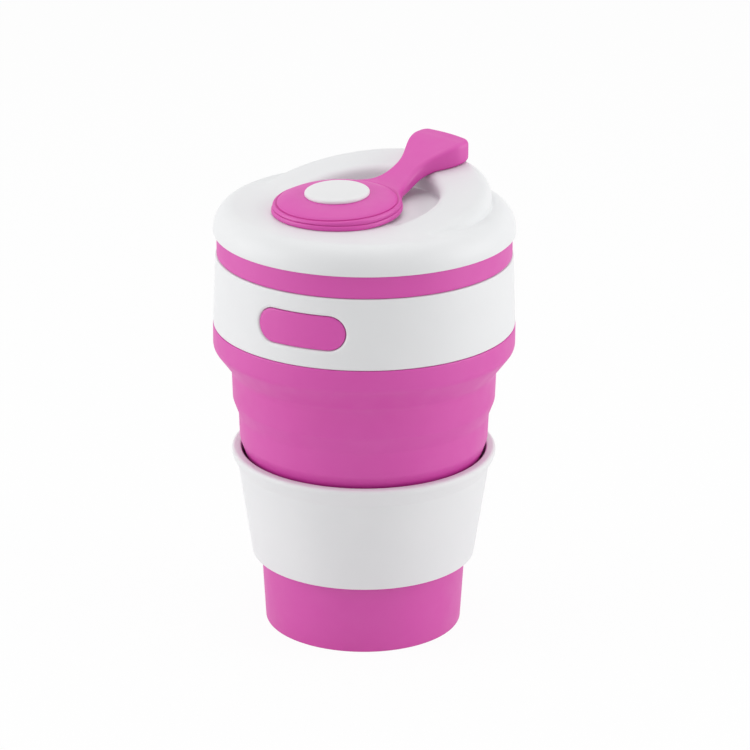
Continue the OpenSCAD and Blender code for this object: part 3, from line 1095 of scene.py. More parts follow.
@dataclass
class Lid:
    """Press-in lid: rounded shoulder, ledge, spout block with a sloping top, dish, drink hole and skirt.

    Attributes:
        finish: Plastic.
        shoulder_w: Width of the rounded shoulder.
        shoulder_h: Height of the flat top over the lid's lower edge.
        lip_up: Height of the upright edge under the shoulder.
        ledge_w: Width of the flat ledge round the spout block.
        slope_deg: Slope of the block's top.
        slope_start: How far behind the middle the slope begins.
        slope_ease: Height within which the slope begins with a curve.
        spout_round: Rounding of the block's edge.
        crease: Size of the crease at the foot of a wall.
        crease_share: Largest crease, as a share of the way up a low wall.
        wall_fade: Heights at which a low wall begins to show and is whole.
        dish_r: Radius of the dish.
        dish_round: Rounding of the dish's edge.
        dish_drop: How far the dish's floor lies under the flat top.
        dish_ramp: Distances along Y at which the floor leaves the flat top and is level again.
        hole_r: Radius of the drink hole.
        hole_y: Distance of the drink hole from the middle.
        wall: Thickness of the wall.
        rim_gap_r: Radius inside the lower edge, over the cup's rim.
        skirt_r: Radius of the skirt.
        skirt_t: Thickness of the skirt.
        hollow_up: Shares of the height at three steps up a wall of the hollow under the spout block.
        hollow_outside: Radii of those steps from the hollow's outer wall.
        hollow_inside: Radii of the same steps downwards from the hollow's inner wall.
        ceiling_inset: Distance of the hollow's ceiling from the outer wall and from the inner wall.
        roof_inset: Distance of the flat roof's first row from the inner wall.
        under_spacing: Longest stretch between points on the profile of skirt and roof.
        edge: Rounding of the other edges.
        columns: Steps round the axis.
        block_columns: Columns on each side of the drink hole that make way for rings round it.
        block_rows: Rows that make way for those rings.
    """

    finish: bpy.types.Material
    shoulder_w: float = 6.3
    shoulder_h: float = 8.3
    lip_up: float = 0.8
    ledge_w: float = 1.3
    slope_deg: float = 10.1
    slope_start: float = 10.6
    slope_ease: float = 0.5
    spout_round: float = 4.2
    crease: float = 0.5
    crease_share: float = 0.3
    wall_fade: tuple[float, float] = (0.02, 0.5)
    dish_r: float = 22.6
    dish_round: float = 2.4
    dish_drop: float = 0.3
    dish_ramp: tuple[float, float] = (-13.0, -5.0)
    hole_r: float = 4.2
    hole_y: float = 29.8
    wall: float = 2.0
    rim_gap_r: float = 45.0
    skirt_r: float = 42.0
    skirt_t: float = 1.5
    hollow_up: tuple[float, float, float] = (0.0, 0.12, 0.85)
    hollow_outside: tuple[float, float, float] = (0.15, 0.0, -0.15)
    hollow_inside: tuple[float, float, float] = (0.12, 0.0, -0.15)
    ceiling_inset: tuple[float, float] = (0.6, 0.3)
    roof_inset: float = 2.0
    under_spacing: float = 4.0
    edge: float = 0.4
    columns: int = 288
    block_columns: int = 12
    block_rows: int = 13

    def __post_init__(self) -> None:
        """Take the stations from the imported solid."""
        box, rim = NodeBox.of("lid"), NodeBox.of("cup_rim")
        self.skirt_z, self.lid_r = box.bottom, box.radius
        self.rim_z = rim.top
        self.top_z = NodeBox.of("stopper_disc").bottom
        self.lip_z = self.top_z - self.shoulder_h
        self.roof_z = self.top_z - self.wall
        self.slope = math.tan(math.radians(self.slope_deg))
        self.flat_r = self.lid_r - self.shoulder_w
        self.spout_r = self.flat_r - self.ledge_w
        self.turn = full_turn(self.columns) - np.pi / 2
        self.sine = np.sin(self.turn)

    def rise(self, y: np.ndarray) -> np.ndarray:
        """Height of the sloping top over the flat top: a straight slope that starts with a short curve.

        Where the slope is within e of the flat top, the height is (slope + e) squared over 4 e.

        Args:
            y: Distance from the lid's centre towards the drink hole.

        Returns:
            The height at each distance, 0 behind the slope.
        """
        plain = self.slope * (y + self.slope_start)
        eased = (plain + self.slope_ease) ** 2 / (4 * self.slope_ease)
        return np.where(plain > self.slope_ease, plain, np.where(plain < -self.slope_ease, 0.0, eased))

    def plane_z(self, y: np.ndarray) -> np.ndarray:
        """Height of the sloping top."""
        return self.top_z + self.rise(y)

    def floor_z(self, y: np.ndarray) -> np.ndarray:
        """Height of the dish's floor, level with the flat top at its back."""
        return self.top_z - self.dish_drop * soft_step(y, *self.dish_ramp)

    def rounded_wall(self, height: np.ndarray, rounding: float, count: int) -> tuple[np.ndarray, ...]:
        """Profile of a wall with a rounded top edge and a small crease at its foot.

        Up the wall the path is upright to height less R, then an arc of radius R. Where the wall is lower
        than R only the arc's upper part is left, from the angle whose sine is 1 - height / R. The crease is
        a quadratic curve that leaves the ground one crease length before the wall.

        Args:
            height: Height of the wall, by column.
            rounding: Radius R of its top edge.
            count: Number of points above the crease.

        Returns:
            Inset from the wall's face and height above the ground by column and row, and the share of the
            wall that is there, by column.
        """
        crease_rows = 4
        start = np.arcsin(np.clip(1.0 - height / rounding, 0.0, 1.0))
        upright = np.clip(height - rounding, 0.0, None)
        length = upright + rounding * (np.pi / 2 - start)
        crease = np.minimum(self.crease, self.crease_share * length)

        def along(s: np.ndarray) -> tuple[np.ndarray, np.ndarray]:
            """Follow the path up the wall.

            Args:
                s: Length up the path.

            Returns:
                Inset and height there.
            """
            angle = start + np.clip(s - upright, 0.0, None) / rounding
            on_arc = s > upright
            inset = np.where(on_arc, rounding - rounding * np.cos(angle), 0.0)
            rise = np.where(on_arc, height - rounding + rounding * np.sin(angle), s)
            return inset, rise

        foot_inset = along(0 * height)[0]
        t = np.linspace(0.0, 1.0, crease_rows + 1)[None, :-1]
        end_inset, end_rise = along(crease)
        low_inset = (1 - t) ** 2 * (foot_inset - crease) + 2 * t * (1 - t) * foot_inset + t**2 * end_inset
        low_rise = t**2 * end_rise
        s = crease + (length - crease) * np.linspace(0.0, 1.0, count)[None, :]
        high_inset, high_rise = along(s)
        share = soft_step(height, *self.wall_fade)
        flat_inset = np.linspace(-self.crease, rounding, crease_rows + count)[None, :]
        inset = mix(flat_inset, np.concatenate([low_inset, high_inset], 1), share)
        return inset, np.concatenate([low_rise, high_rise], 1), share

    def shoulder_rows(self) -> tuple[np.ndarray, np.ndarray]:
        """Rows of the rounded lower edge, and of the shoulder, which is a quarter of an ellipse.

        Returns:
            Radius and height by column and row.
        """
        edge_turn = np.radians([0.0, 30.0, 60.0, 90.0])
        lip_r = self.lid_r - self.edge + self.edge * np.sin(edge_turn)
        lip_z = self.lip_z + self.edge - self.edge * np.cos(edge_turn)
        arc = np.radians(np.linspace(0.0, 90.0, 17))
        arc_r = self.flat_r + self.shoulder_w * np.cos(arc)
        arc_z = self.lip_z + self.lip_up + (self.shoulder_h - self.lip_up) * np.sin(arc)
        r, z = np.concatenate([lip_r, arc_r]), np.concatenate([lip_z, arc_z])
        return r[None, :] + 0 * self.turn, z[None, :] + 0 * self.turn

    def spout_rows(self) -> tuple[np.ndarray, np.ndarray]:
        """Rows of the ledge, and of the spout block's wall, which rounds over into the sloping top.

        Returns:
            Radius and height by column and row.
        """
        height = self.rise(self.spout_r * self.sine)
        inset, up, share = self.rounded_wall(height, self.spout_round, count=16)
        wall_r = self.spout_r - inset
        slope_up = self.rise(wall_r * self.sine)
        on_top = np.clip(inset / self.spout_round, 0.0, 1.0)
        wall_up = np.clip(up - on_top * (height - slope_up), 0.0, None)
        wall_z = self.top_z + mix(slope_up, wall_up, share)
        ledge_r = mix(self.flat_r + 0 * self.turn, wall_r[:, :1], np.linspace(0.25, 0.75, 3)[None, :])
        ledge_z = self.top_z + 0 * ledge_r
        return np.concatenate([ledge_r, wall_r], 1), np.concatenate([ledge_z, wall_z], 1)

    def dish_rows(self) -> tuple[np.ndarray, np.ndarray]:
        """Rows of the dish's wall from its rounded edge down, and of the floor to its middle.

        Returns:
            Radius and height by column and row.
        """
        rim_y = self.dish_r * self.sine
        depth = self.plane_z(rim_y) - self.floor_z(rim_y)
        inset, up, share = self.rounded_wall(depth, self.dish_round, count=12)
        inset, up = inset[:, ::-1], up[:, ::-1]
        wall_r = self.dish_r + inset
        slope_z = self.plane_z(wall_r * self.sine)
        on_top = np.clip(inset / self.dish_round, 0.0, 1.0)
        wall_up = np.clip(up + on_top * (slope_z - self.floor_z(rim_y) - depth), 0.0, None)
        wall_z = mix(slope_z, self.floor_z(rim_y) + wall_up, share)
        floor_r = mix(wall_r[:, -1:], 0.0, np.linspace(0.08, 1.0, 12)[None, :])
        floor_z = self.floor_z(floor_r * self.sine)
        return np.concatenate([wall_r, floor_r], 1), np.concatenate([wall_z, floor_z], 1)

    def upper_rows(self) -> tuple[np.ndarray, np.ndarray, np.ndarray, int]:
        """Upper face of the lid by column and row, from the lower edge to the middle of the dish.

        The dish is sunk at right angles to the sloping top, so its wall shifts along Y by the slope times
        the depth.

        Returns:
            Radius, height and shift along Y, and the number of the first row of the sloping top.
        """
        crest_r = self.dish_r + self.dish_round
        plateau = np.linspace(self.spout_r - self.spout_round, crest_r, 12)[None, 1:-1] + 0 * self.turn
        shoulder, spout = self.shoulder_rows(), self.spout_rows()
        bands = [shoulder, spout, (plateau, self.plane_z(plateau * self.sine)), self.dish_rows()]
        r, z = (np.concatenate(rows, 1) for rows in zip(*bands))
        inside = soft_step(crest_r - r, 0.0, self.dish_round) * np.minimum(r / self.dish_r, 1.0) ** 2
        shift = self.slope * np.clip(self.plane_z(r * self.sine) - z, 0.0, None) * inside
        first = shoulder[0].shape[1] + spout[0].shape[1] - 1
        return r, z, shift, first

    def lower_rows(self) -> tuple[np.ndarray, np.ndarray, int]:
        """Underside of the lid by column and row, from the lower edge to the middle of the roof.

        Returns:
            Radius and height, and the number of the first row of the hollow's ceiling.
        """
        skirt_in = self.skirt_r - self.skirt_t
        corners = [
            Corner(self.lid_r - self.edge, self.lip_z),
            Corner(self.rim_gap_r, self.lip_z, self.edge / 2),
            Corner(self.rim_gap_r, self.rim_z),
            Corner(self.skirt_r, self.rim_z),
            Corner(self.skirt_r, self.skirt_z, self.edge),
            Corner(skirt_in, self.skirt_z, self.edge),
            Corner(skirt_in, self.roof_z, self.crease),
            Corner(self.spout_r - self.wall / 2, self.roof_z),
        ]
        path = rounded_path(corners, self.under_spacing, closed=False)
        hollow_r, hollow_in = self.spout_r - self.wall, self.dish_r + self.wall
        outer_wall = hollow_r + np.array(self.hollow_outside)
        from_outer, from_inner = self.ceiling_inset
        ceiling = np.linspace(hollow_r - from_outer, hollow_in + from_inner, self.block_rows + 1)
        inner_wall = hollow_in + np.array(self.hollow_inside)
        roof = np.linspace(hollow_in - self.roof_inset, 0.0, 6)
        radii = np.concatenate([outer_wall, ceiling, inner_wall, roof])
        way_up = np.array(self.hollow_up)
        share = np.concatenate([way_up, np.ones(len(ceiling)), way_up[::-1], np.zeros(len(roof))])
        r = np.concatenate([path[:, 0], radii])[None, :] + 0 * self.turn
        z_path = path[None, :, 1] + 0 * self.turn
        z_roof = self.roof_z + share[None, :] * self.rise(radii[None, :] * self.sine)
        return r, np.concatenate([z_path, z_roof], 1), len(path) + len(outer_wall)

    def holed(self, r: np.ndarray, z: np.ndarray, shift: np.ndarray, first: int, sunk: float,
              rounding: float, ray: np.ndarray | None) -> tuple[Surface, np.ndarray, np.ndarray]:
        """Cut the drink hole into one face of the lid.

        Rings run from the border of a block of cells to the hole's edge along rays from its middle. They
        lie on the sloping plane, lowered near the hole by the rounding of its edge.

        Args:
            r: Radius by column and row.
            z: Height by column and row.
            shift: Shift along Y by column and row.
            first: First row of the block.
            sunk: How far this face lies under the sloping top.
            rounding: Rounding of the hole's edge.
            ray: Directions of the hole's points, or None to take them from the block's border.

        Returns:
            The face, the points of the hole's edge and their directions.
        """
        middle = self.columns // 2
        block = (middle - self.block_columns, middle + self.block_columns, first, first + self.block_rows)
        insets = edge_insets(rounding, [0.0, 25.0, 50.0, 70.0, 90.0])
        shares = np.linspace(0.25, 0.85, 4)
        grid = HoledGrid(self.columns, r.shape[1], block, len(shares) + len(insets))
        main = around(r, self.turn, z).reshape(-1, 3)
        main[:, 1] += shift.ravel()
        border = main[grid.border()]
        if ray is None:
            ray = np.arctan2(border[:, 1] - self.hole_y, border[:, 0])
        way = np.stack([np.cos(ray), np.sin(ray)], -1)
        centre = np.array([0.0, self.hole_y])
        outlines = [centre + way * (self.hole_r + inset) for inset in insets]
        flat = [mix(border[:, :2], outlines[0], share) for share in shares] + outlines
        off = border[:, 2] - (self.plane_z(border[:, 1]) - sunk)
        fade = np.concatenate([1 - shares, np.zeros(len(insets))])[:, None]
        drop = np.concatenate([np.zeros(len(shares)), edge_drop(insets, rounding)])[:, None]
        xy = np.array(flat)
        ring_z = self.plane_z(xy[..., 1]) - sunk - drop + fade * off
        points = np.concatenate([main, np.concatenate([xy, ring_z[..., None]], -1).reshape(-1, 3)])
        return Surface(points, grid.faces()), points[grid.hole()], ray

    def build(self) -> None:
        """Make the lid: upper face and underside, joined at the lower edge and by the hole's wall."""
        r, z, shift, first = self.upper_rows()
        upper, hole_top, ray = self.holed(r, z, shift, first, sunk=0.0, rounding=self.edge, ray=None)
        r, z, first = self.lower_rows()
        under, hole_low, _ = self.holed(r, z, 0 * r, first, sunk=self.wall, rounding=self.edge / 4, ray=ray)
        surface = upper.joined(under, strip(hole_top, hole_low))
        piece = surface.to_object("drink_lid", self.finish)
        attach(piece, Body.LID.value)
        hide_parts("lid")


@dataclass
class Stopper:
    """Silicone stopper: eyelet disc with a sloping domed face, strap, tab and plug, all one moulding.

    Attributes:
        finish: Silicone.
        lid: The lid that it lies on.
        flange_h: Height of the disc's flange.
        flange_set: How far the ring over the flange is set in from it.
        flange_groove: Depth of the crease between flange and ring.
        flange_round: Height of the flange's rounded upper edge.
        flange_tuck: Share of the crease's depth that this edge takes.
        crease_low: Height of the crease's deepest line over the flange.
        crease_top: Height over the flange at which the crease ends.
        crease_lip: How far the crease ends inside the ring's side.
        disc_fade: Where the disc's side becomes the strap's, from the front of the disc.
        lift_start: How far behind the disc's middle its underside begins to lift off the lid.
        lift_slope: Slope of the lifted underside.
        root_round: Radius of the fillets between disc and strap.
        waist_w: Half of the strap's least width.
        tab_w: Half of the tab's width.
        tab_t: Thickness of the tab over the drink hole.
        tab_corner: Radius of the tab's corners in plan.
        tab_bow: How far the tab's end bows out.
        tab_rise: Slope of the tab's top past the drink hole.
        tab_past: How far the tab reaches past the solid's.
        full_past_hole: How far past the drink hole the strap has become the tab.
        root_len: How far past the disc the strap begins to rise off the dish.
        top_round: Rounding of the upper edge of strap and tab.
        ring_round: Rounding of the ring's upper edge.
        tab_low_round: Rounding of the lower edge of strap and tab.
        low_round: Rounding of the disc's lower edge.
        ring_h: Height of the ring's top over the lid.
        tilt_deg: Slope of the disc's top.
        face_r: Radius of the domed face, at the groove round it.
        face_rise: Height of the dome over the ring.
        face_start: Where the dome's curve begins, as a share of the way out from the seat.
        face_set: How far the face's side lies inside the groove's circle.
        face_draft: How much the side narrows upwards.
        face_low: How far under the ring's top the side ends.
        groove_depth: Depth of the groove round the face.
        groove_w: Distance within which the groove gets shallower by the factor e.
        seat_r: Radius of the button's seat.
        seat_gap: Play between the disc and the flat top.
        clear: Play between strap and lid.
        plug_r: Radius of the plug.
        plug_h: Height of the plug's tapered part.
        plug_draft: How much the plug narrows downwards.
        plug_round: Rounding of the plug's lower edge.
        spacing: Distance of the outline's points.
        across: Points in each row across top and base.
        top_rows: Rows on the rounded upper edge.
        turned_spacing: Longest stretch between points on the profiles of plug and face.
        plug_columns: Steps round the plug.
        face_columns: Steps round the face.
    """

    finish: bpy.types.Material
    lid: Lid
    flange_h: float = 1.6
    flange_set: float = 0.35
    flange_groove: float = 0.65
    flange_round: float = 0.7
    flange_tuck: float = 0.7
    crease_low: float = 0.02
    crease_top: float = 0.16
    crease_lip: float = 0.06
    disc_fade: tuple[float, float] = (-6.0, 2.0)
    lift_start: float = 6.0
    lift_slope: float = 0.055
    root_round: float = 19.0
    waist_w: float = 5.0
    tab_w: float = 10.2
    tab_t: float = 7.2
    tab_corner: float = 3.4
    tab_bow: float = 0.5
    tab_rise: float = 0.09
    tab_past: float = 0.8
    full_past_hole: float = 2.2
    root_len: float = 2.0
    top_round: float = 1.6
    ring_round: float = 1.1
    tab_low_round: float = 1.2
    low_round: float = 0.5
    ring_h: float = 3.8
    tilt_deg: float = 2.5
    face_r: float = 18.3
    face_rise: float = 1.9
    face_start: float = 0.94
    face_set: float = 0.1
    face_draft: float = 0.02
    face_low: float = 0.1
    groove_depth: float = 0.55
    groove_w: float = 0.5
    seat_r: float = 9.9
    seat_gap: float = 0.01
    clear: float = 0.1
    plug_r: float = 3.6
    plug_h: float = 4.0
    plug_draft: float = 0.6
    plug_round: float = 0.8
    spacing: float = 0.4
    across: int = 129
    top_rows: int = 8
    turned_spacing: float = 0.8
    plug_columns: int = 64
    face_columns: int = 160

    def __post_init__(self) -> None:
        """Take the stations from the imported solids."""
        disc, strap, tab = (NodeBox.of("stopper_" + name) for name in ("disc", "strap", "tab"))
        self.disc_r = disc.radius
        self.disc_y = (disc.front + disc.back) / 2
        self.edge_y = disc.front
        self.bend_y = strap.front
        self.end_y = tab.front + self.tab_past
        self.base_z = disc.bottom
        self.top_z = self.base_z + self.ring_h
        self.tilt = math.tan(math.radians(self.tilt_deg))
        self.fillet_x = self.waist_w + self.root_round
        reach = self.disc_r + self.root_round
        self.waist_y = self.disc_y + math.sqrt(reach**2 - self.fillet_x**2)
        self.full_y = self.lid.hole_y + self.full_past_hole

    def over(self, y: np.ndarray) -> np.ndarray:
        """Height of the top: the disc's slope, a soft rise along the strap, then the tab's own slope.

        Args:
            y: Distance from the lid's centre towards the drink hole.

        Returns:
            The height at each distance.
        """
        root = self.top_z + self.tilt * (np.minimum(y, self.edge_y) - self.disc_y)
        end = float(self.lid.plane_z(np.array(self.lid.hole_y))) + self.tab_t
        slope = self.tab_rise * np.clip(y - self.lid.hole_y, 0.0, None)
        return mix(root, end, soft_step(y, self.edge_y, self.full_y)) + slope

    def under(self, y: np.ndarray) -> np.ndarray:
        """Height of the underside: on the lid behind, lifting under the disc, then over the sloping top.

        Args:
            y: Distance from the lid's centre towards the drink hole.

        Returns:
            The height at each distance.
        """
        lifted = np.clip(np.minimum(y, self.edge_y) - self.disc_y + self.lift_start, 0.0, None)
        low = self.base_z + self.seat_gap + self.lift_slope * lifted
        crest_y = self.lid.dish_r + self.lid.dish_round
        share = soft_step(y, self.edge_y + self.root_len, crest_y)
        return mix(low, self.lid.plane_z(y) + self.clear, share)

    def half_outline(self) -> np.ndarray:
        """Right half of the outline in plan, from the back of the disc to the middle of the tab's end.

        The disc's arc meets the strap in a fillet that touches both. The strap widens by a soft step, and
        the tab ends in round corners and a slightly bowed edge.

        Returns:
            Evenly spaced rows of x and y.
        """
        tangent = math.atan2(self.waist_y - self.disc_y, self.fillet_x)
        disc = arc_in_plan((0.0, self.disc_y), (self.disc_r, self.disc_r), (-np.pi / 2, tangent), 400)
        fillet = arc_in_plan((self.fillet_x, self.waist_y), (self.root_round, self.root_round),
                             (tangent + np.pi, np.pi), 200)
        corner_y = self.end_y - self.tab_bow - self.tab_corner
        y = np.linspace(self.waist_y, corner_y, 200)
        flare = np.stack([mix(self.waist_w, self.tab_w, soft_step(y, self.waist_y, self.full_y)), y], -1)
        flat_x = self.tab_w - self.tab_corner
        corner_w = flare[-1, 0] - flat_x
        corner = arc_in_plan((flat_x, corner_y), (corner_w, self.tab_corner), (0.0, np.pi / 2), 60)
        x = np.linspace(flat_x, 0.0, 60)
        end = np.stack([x, self.end_y - self.tab_bow * (x / flat_x) ** 2], -1)
        path = np.concatenate([disc, fillet[1:], flare[1:], corner[1:], end[1:]])
        length = np.concatenate([[0.0], np.cumsum(np.linalg.norm(np.diff(path, axis=0), axis=1))])
        even = np.linspace(0.0, length[-1], math.ceil(length[-1] / self.spacing))
        return np.stack([np.interp(even, length, path[:, i]) for i in (0, 1)], -1)

    def side_rings(self, y: np.ndarray) -> list[tuple[np.ndarray, np.ndarray]]:
        """Profile of the side: rounded lower edge, flange and crease on the disc, rounded upper edge.

        Args:
            y: Distance of the outline's points from the lid's centre towards the drink hole.

        Returns:
            Inset from the outline and height of each ring, from the base to the top.
        """
        fade_start, fade_end = self.disc_fade
        on_disc = 1.0 - soft_step(y, self.edge_y + fade_start, self.edge_y + fade_end)
        low, high = self.under(y), self.over(y)
        crease_z = low + mix((high - low) / 2, self.flange_h, on_disc)
        top_round = mix(self.top_round, self.ring_round, on_disc)
        low_round = mix(self.tab_low_round, self.low_round, on_disc)

        rings: list[tuple[np.ndarray, np.ndarray]] = []
        for turn in np.radians(np.linspace(0.0, 90.0, 5)):
            rings.append((low_round * (1 - math.sin(turn)), low + low_round * (1 - math.cos(turn))))
        arc = np.radians([0.0, 25.0, 50.0, 75.0, 90.0])
        tuck = self.flange_tuck * self.flange_groove
        flange = list(zip(self.flange_round * (np.sin(arc) - 1), tuck * (1 - np.cos(arc))))
        crease_end = self.flange_set + self.crease_lip
        flange += [(self.crease_low, self.flange_groove), (self.crease_top, crease_end)]
        rings += [(on_disc * inset, crease_z + on_disc * up) for up, inset in flange]
        for turn in np.radians(np.linspace(0.0, 90.0, self.top_rows)):
            inset = self.flange_set * on_disc + top_round * (1 - math.cos(turn))
            rings.append((inset, high - top_round * (1 - math.sin(turn))))
        return rings

    def rows_across(self, ring: np.ndarray) -> np.ndarray:
        """Lay rows of points across the outline, from its left half to its right half.

        Args:
            ring: Points of the outline's right half.

        Returns:
            Points by row, with x, y and z last.
        """
        share = np.linspace(-1.0, 1.0, self.across)[None, :]
        return np.stack([ring[:, :1] * share, ring[:, 1:2] + 0 * share, ring[:, 2:] + 0 * share], -1)

    def body(self) -> Surface:
        """Surface of disc, strap and tab: rings up the side of the outline, then rows across top and base.

        Each ring is the outline drawn in by the side's own profile, at right angles to the outline. Rows of
        points at the same y fill the top and the base.

        Returns:
            The closed surface.
        """
        line = self.half_outline()
        tangent = np.gradient(line, axis=0)
        tangent[0], tangent[-1] = (1.0, 0.0), (-1.0, 0.0)
        tangent /= np.linalg.norm(tangent, axis=1)[:, None]
        inward = np.stack([-tangent[:, 1], tangent[:, 0]], -1)
        rings = self.side_rings(line[:, 1])
        side = np.stack([np.column_stack([line + inward * inset[:, None], z]) for inset, z in rings], 1)
        side[[0, -1], :, 0] = 0.0
        top = self.rows_across(side[:, -1])
        base = self.rows_across(side[:, 0])
        for grid in (side[:, -self.top_rows:], top):
            grid[..., 2] -= self.groove(grid)
        right = Surface.of_grid(side)
        return right.joined(right.mirrored(), Surface.of_grid(top), Surface.of_grid(base))

    def groove(self, grid: np.ndarray) -> np.ndarray:
        """Depth of the round groove beside the domed face: a bell curve of the distance from its circle."""
        off = np.hypot(grid[..., 0], grid[..., 1] - self.disc_y) - self.face_r
        return self.groove_depth * np.exp(-((off / self.groove_w) ** 2))

    def plug(self) -> Surface:
        """Make the tapered plug under the tab, turned about the middle of the drink hole.

        Returns:
            The closed surface, whose top is buried in the tab.
        """
        plane = float(self.lid.plane_z(np.array(self.lid.hole_y)))
        low = plane - self.lid.slope * self.plug_r - self.plug_h
        buried = plane + self.tab_t / 2
        corners = [
            Corner(0, low), Corner(self.plug_r - self.plug_draft, low, self.plug_round),
            Corner(self.plug_r, low + self.plug_h), Corner(self.plug_r, buried), Corner(0, buried),
        ]
        path = rounded_path(corners, self.turned_spacing, closed=False)
        return turned(path, self.plug_columns, closed=False).moved(y=self.lid.hole_y)

    def face(self) -> Surface:
        """Make the domed face inside the ring: it rises as 1 - t cubed from its edge to the button's seat.

        Returns:
            The closed surface, sunk into the groove round it.
        """
        t = np.linspace(self.face_start, 0.0, 24)
        dome_r = self.seat_r + t * (self.face_r - self.seat_r)
        dome_z = self.top_z + self.face_rise * (1 - t**3)
        root = self.top_z - 2 * self.groove_depth
        side_r = self.face_r - self.face_set
        edge = [(0.0, root), (side_r, root), (side_r - self.face_draft, self.top_z - self.face_low)]
        path = np.vstack([edge, np.column_stack([dome_r, dome_z]), [(0.0, dome_z[-1])]])
        dome = turned(divided(path, self.turned_spacing, closed=False), self.face_columns, closed=False)
        return dome.tilted(self.tilt).moved(y=self.disc_y)

    def build(self) -> None:
        """Make the moulding and the face that stays on the lid."""
        piece = self.body().joined(self.plug()).to_object("strap_stopper", self.finish)
        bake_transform(piece)
        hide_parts("stopper_disc", "stopper_strap", "stopper_tab")
        face = self.face().to_object("stopper_face", self.finish)
        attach(face, Body.LID.value)


@dataclass
class Button:
    """Low domed button that pins the stopper's disc to the lid, with a stem and snap barbs.

    Attributes:
        finish: Glossy plastic.
        stopper: The stopper that it pins.
        stem_r: Radius of the stem.
        barb: How far the barbs stand out.
        barb_gap: Play between barbs and lid.
        height: Height of the head over its seat.
        side_h: Height of the head's upright side.
        fullness: Power n of the crown's curve: 2 is an ellipse, and more is fuller.
        bevel: Size of the bevel at the head's lower edge.
        spacing: Longest stretch of the profile between points.
        columns: Steps round the axis.
    """

    finish: bpy.types.Material
    stopper: Stopper
    stem_r: float = 4.0
    barb: float = 0.8
    barb_gap: float = 0.2
    height: float = 2.1
    side_h: float = 0.4
    fullness: float = 2.6
    bevel: float = 0.15
    spacing: float = 1.2
    columns: int = 96

    def build(self) -> None:
        """Make the button: a low side, and a crown whose r to the n plus z to the n stays the same."""
        box = NodeBox.of("lid_button")
        head_r = box.radius
        seat = self.stopper.top_z + self.stopper.face_rise
        roof = self.stopper.lid.roof_z - self.barb_gap
        arc = np.radians(np.linspace(0.0, 90.0, 25))
        crown_r = head_r * np.cos(arc).clip(0.0) ** (2 / self.fullness)
        crown_z = seat + self.side_h + (self.height - self.side_h) * np.sin(arc) ** (2 / self.fullness)
        stem = [
            (0.0, box.bottom), (self.stem_r - self.barb, box.bottom),
            (self.stem_r + self.barb, roof - self.barb / 2), (self.stem_r + self.barb, roof),
            (self.stem_r, roof), (self.stem_r, seat),
            (head_r - self.bevel, seat), (head_r, seat + self.bevel),
        ]
        path = divided(np.vstack([stem, np.column_stack([crown_r, crown_z])]), self.spacing, closed=False)
        upright = turned(path, self.columns, closed=False)
        surface = upright.tilted(self.stopper.tilt, self.stopper.base_z, seat).moved(y=self.stopper.disc_y)
        piece = surface.to_object("button_cap", self.finish)
        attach(piece, Body.LID.value)
        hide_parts("lid_button")


class Softbox(NamedTuple):
    """Rectangular lamp that faces the cup: turn from the camera, rise, size in metres and power in watts."""

    name: str
    turn_deg: float
    rise_deg: float
    width: float
    height: float
    power: float


